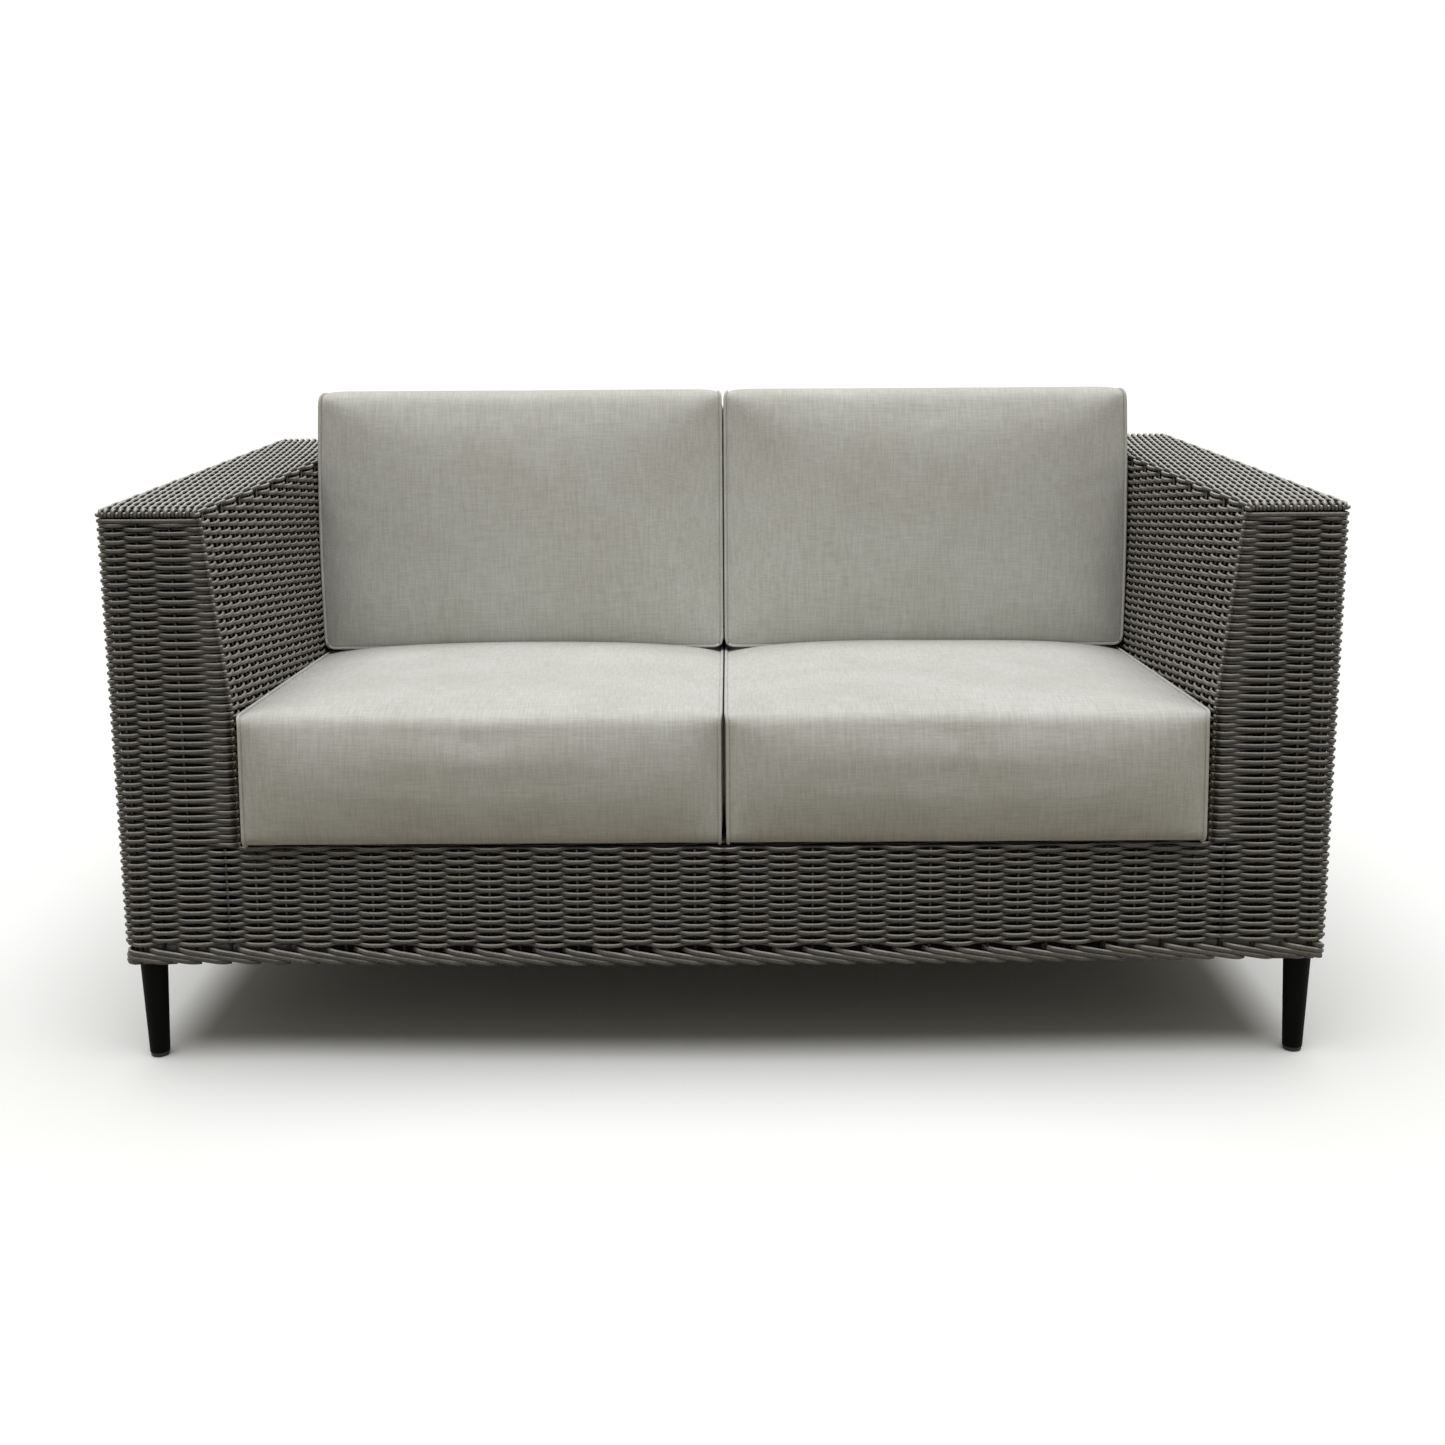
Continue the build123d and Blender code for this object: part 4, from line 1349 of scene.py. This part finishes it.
def camera_sees(tree):
    """One where the camera sees a surface, straight or by a mirror or glass, else nothing."""
    light_path = tree.nodes.new("ShaderNodeLightPath")
    total = light_path.outputs["Is Camera Ray"]
    for ray in ("Is Glossy Ray", "Is Transmission Ray"):
        add = tree.nodes.new("ShaderNodeMath")
        add.operation = "MAXIMUM"
        tree.links.new(total, add.inputs[0])
        tree.links.new(light_path.outputs[ray], add.inputs[1])
        total = add.outputs[0]
    return total


def stage_floor():
    """A pale floor that is white to the camera and keeps the shadow, and throws little light up."""
    mesh = bpy.data.meshes.new("floor")
    reach = 60.0
    mesh.from_pydata([(-reach, -reach, 0), (reach, -reach, 0), (reach, reach, 0), (-reach, reach, 0)],
                     [], [(0, 1, 2, 3)])
    floor = link("floor", mesh)
    made, tree, shader = material("floor")
    tree.links.new(
        blend_colours(tree, camera_sees(tree), (0.20, 0.18, 0.14, 1), (0.98, 0.99, 1.0, 1)),
        shader.inputs["Base Color"])
    surface(shader, roughness=1.0, shine=0.0)
    mesh.materials.append(made)


stage_floor()


def soft_sun(name, elevation, azimuth, level, spread_angle):
    """A wide soft light from afar; a level of 1 alone lights a white face to white."""
    lamp = bpy.data.objects.new(name, bpy.data.lights.new(name, "SUN"))
    lamp.data.energy = pi * level
    lamp.data.angle = radians(spread_angle)
    lamp.rotation_euler = (radians(90 - elevation), 0, radians(azimuth))
    bpy.context.scene.collection.objects.link(lamp)


soft_sun("key", elevation=86, azimuth=-6, level=0.83, spread_angle=60)

world = bpy.data.worlds.new("world")
bpy.context.scene.world = world
world.use_nodes = True
sky = world.node_tree.nodes["Background"]
world.node_tree.links.new(
    blend_colours(world.node_tree, camera_sees(world.node_tree), (1.0, 0.95, 0.80, 1), (1, 1, 1, 1)),
    sky.inputs["Color"])
level = world.node_tree.nodes.new("ShaderNodeMapRange")
level.inputs["To Min"].default_value = 0.24
level.inputs["To Max"].default_value = 1.0
world.node_tree.links.new(camera_sees(world.node_tree), level.inputs["Value"])
world.node_tree.links.new(level.outputs["Result"], sky.inputs["Strength"])

camera = bpy.data.objects.new("camera", bpy.data.cameras.new("camera"))
camera.location = (0.0077, -2.6027, 0.9976)
camera.rotation_euler = (1.38042, 0.00643, 0.00237)
camera.data.sensor_width = 36
camera.data.lens = 45.61
camera.data.shift_y = -0.0776
bpy.context.scene.collection.objects.link(camera)
bpy.context.scene.camera = camera
bpy.context.scene.view_settings.view_transform = "Standard"
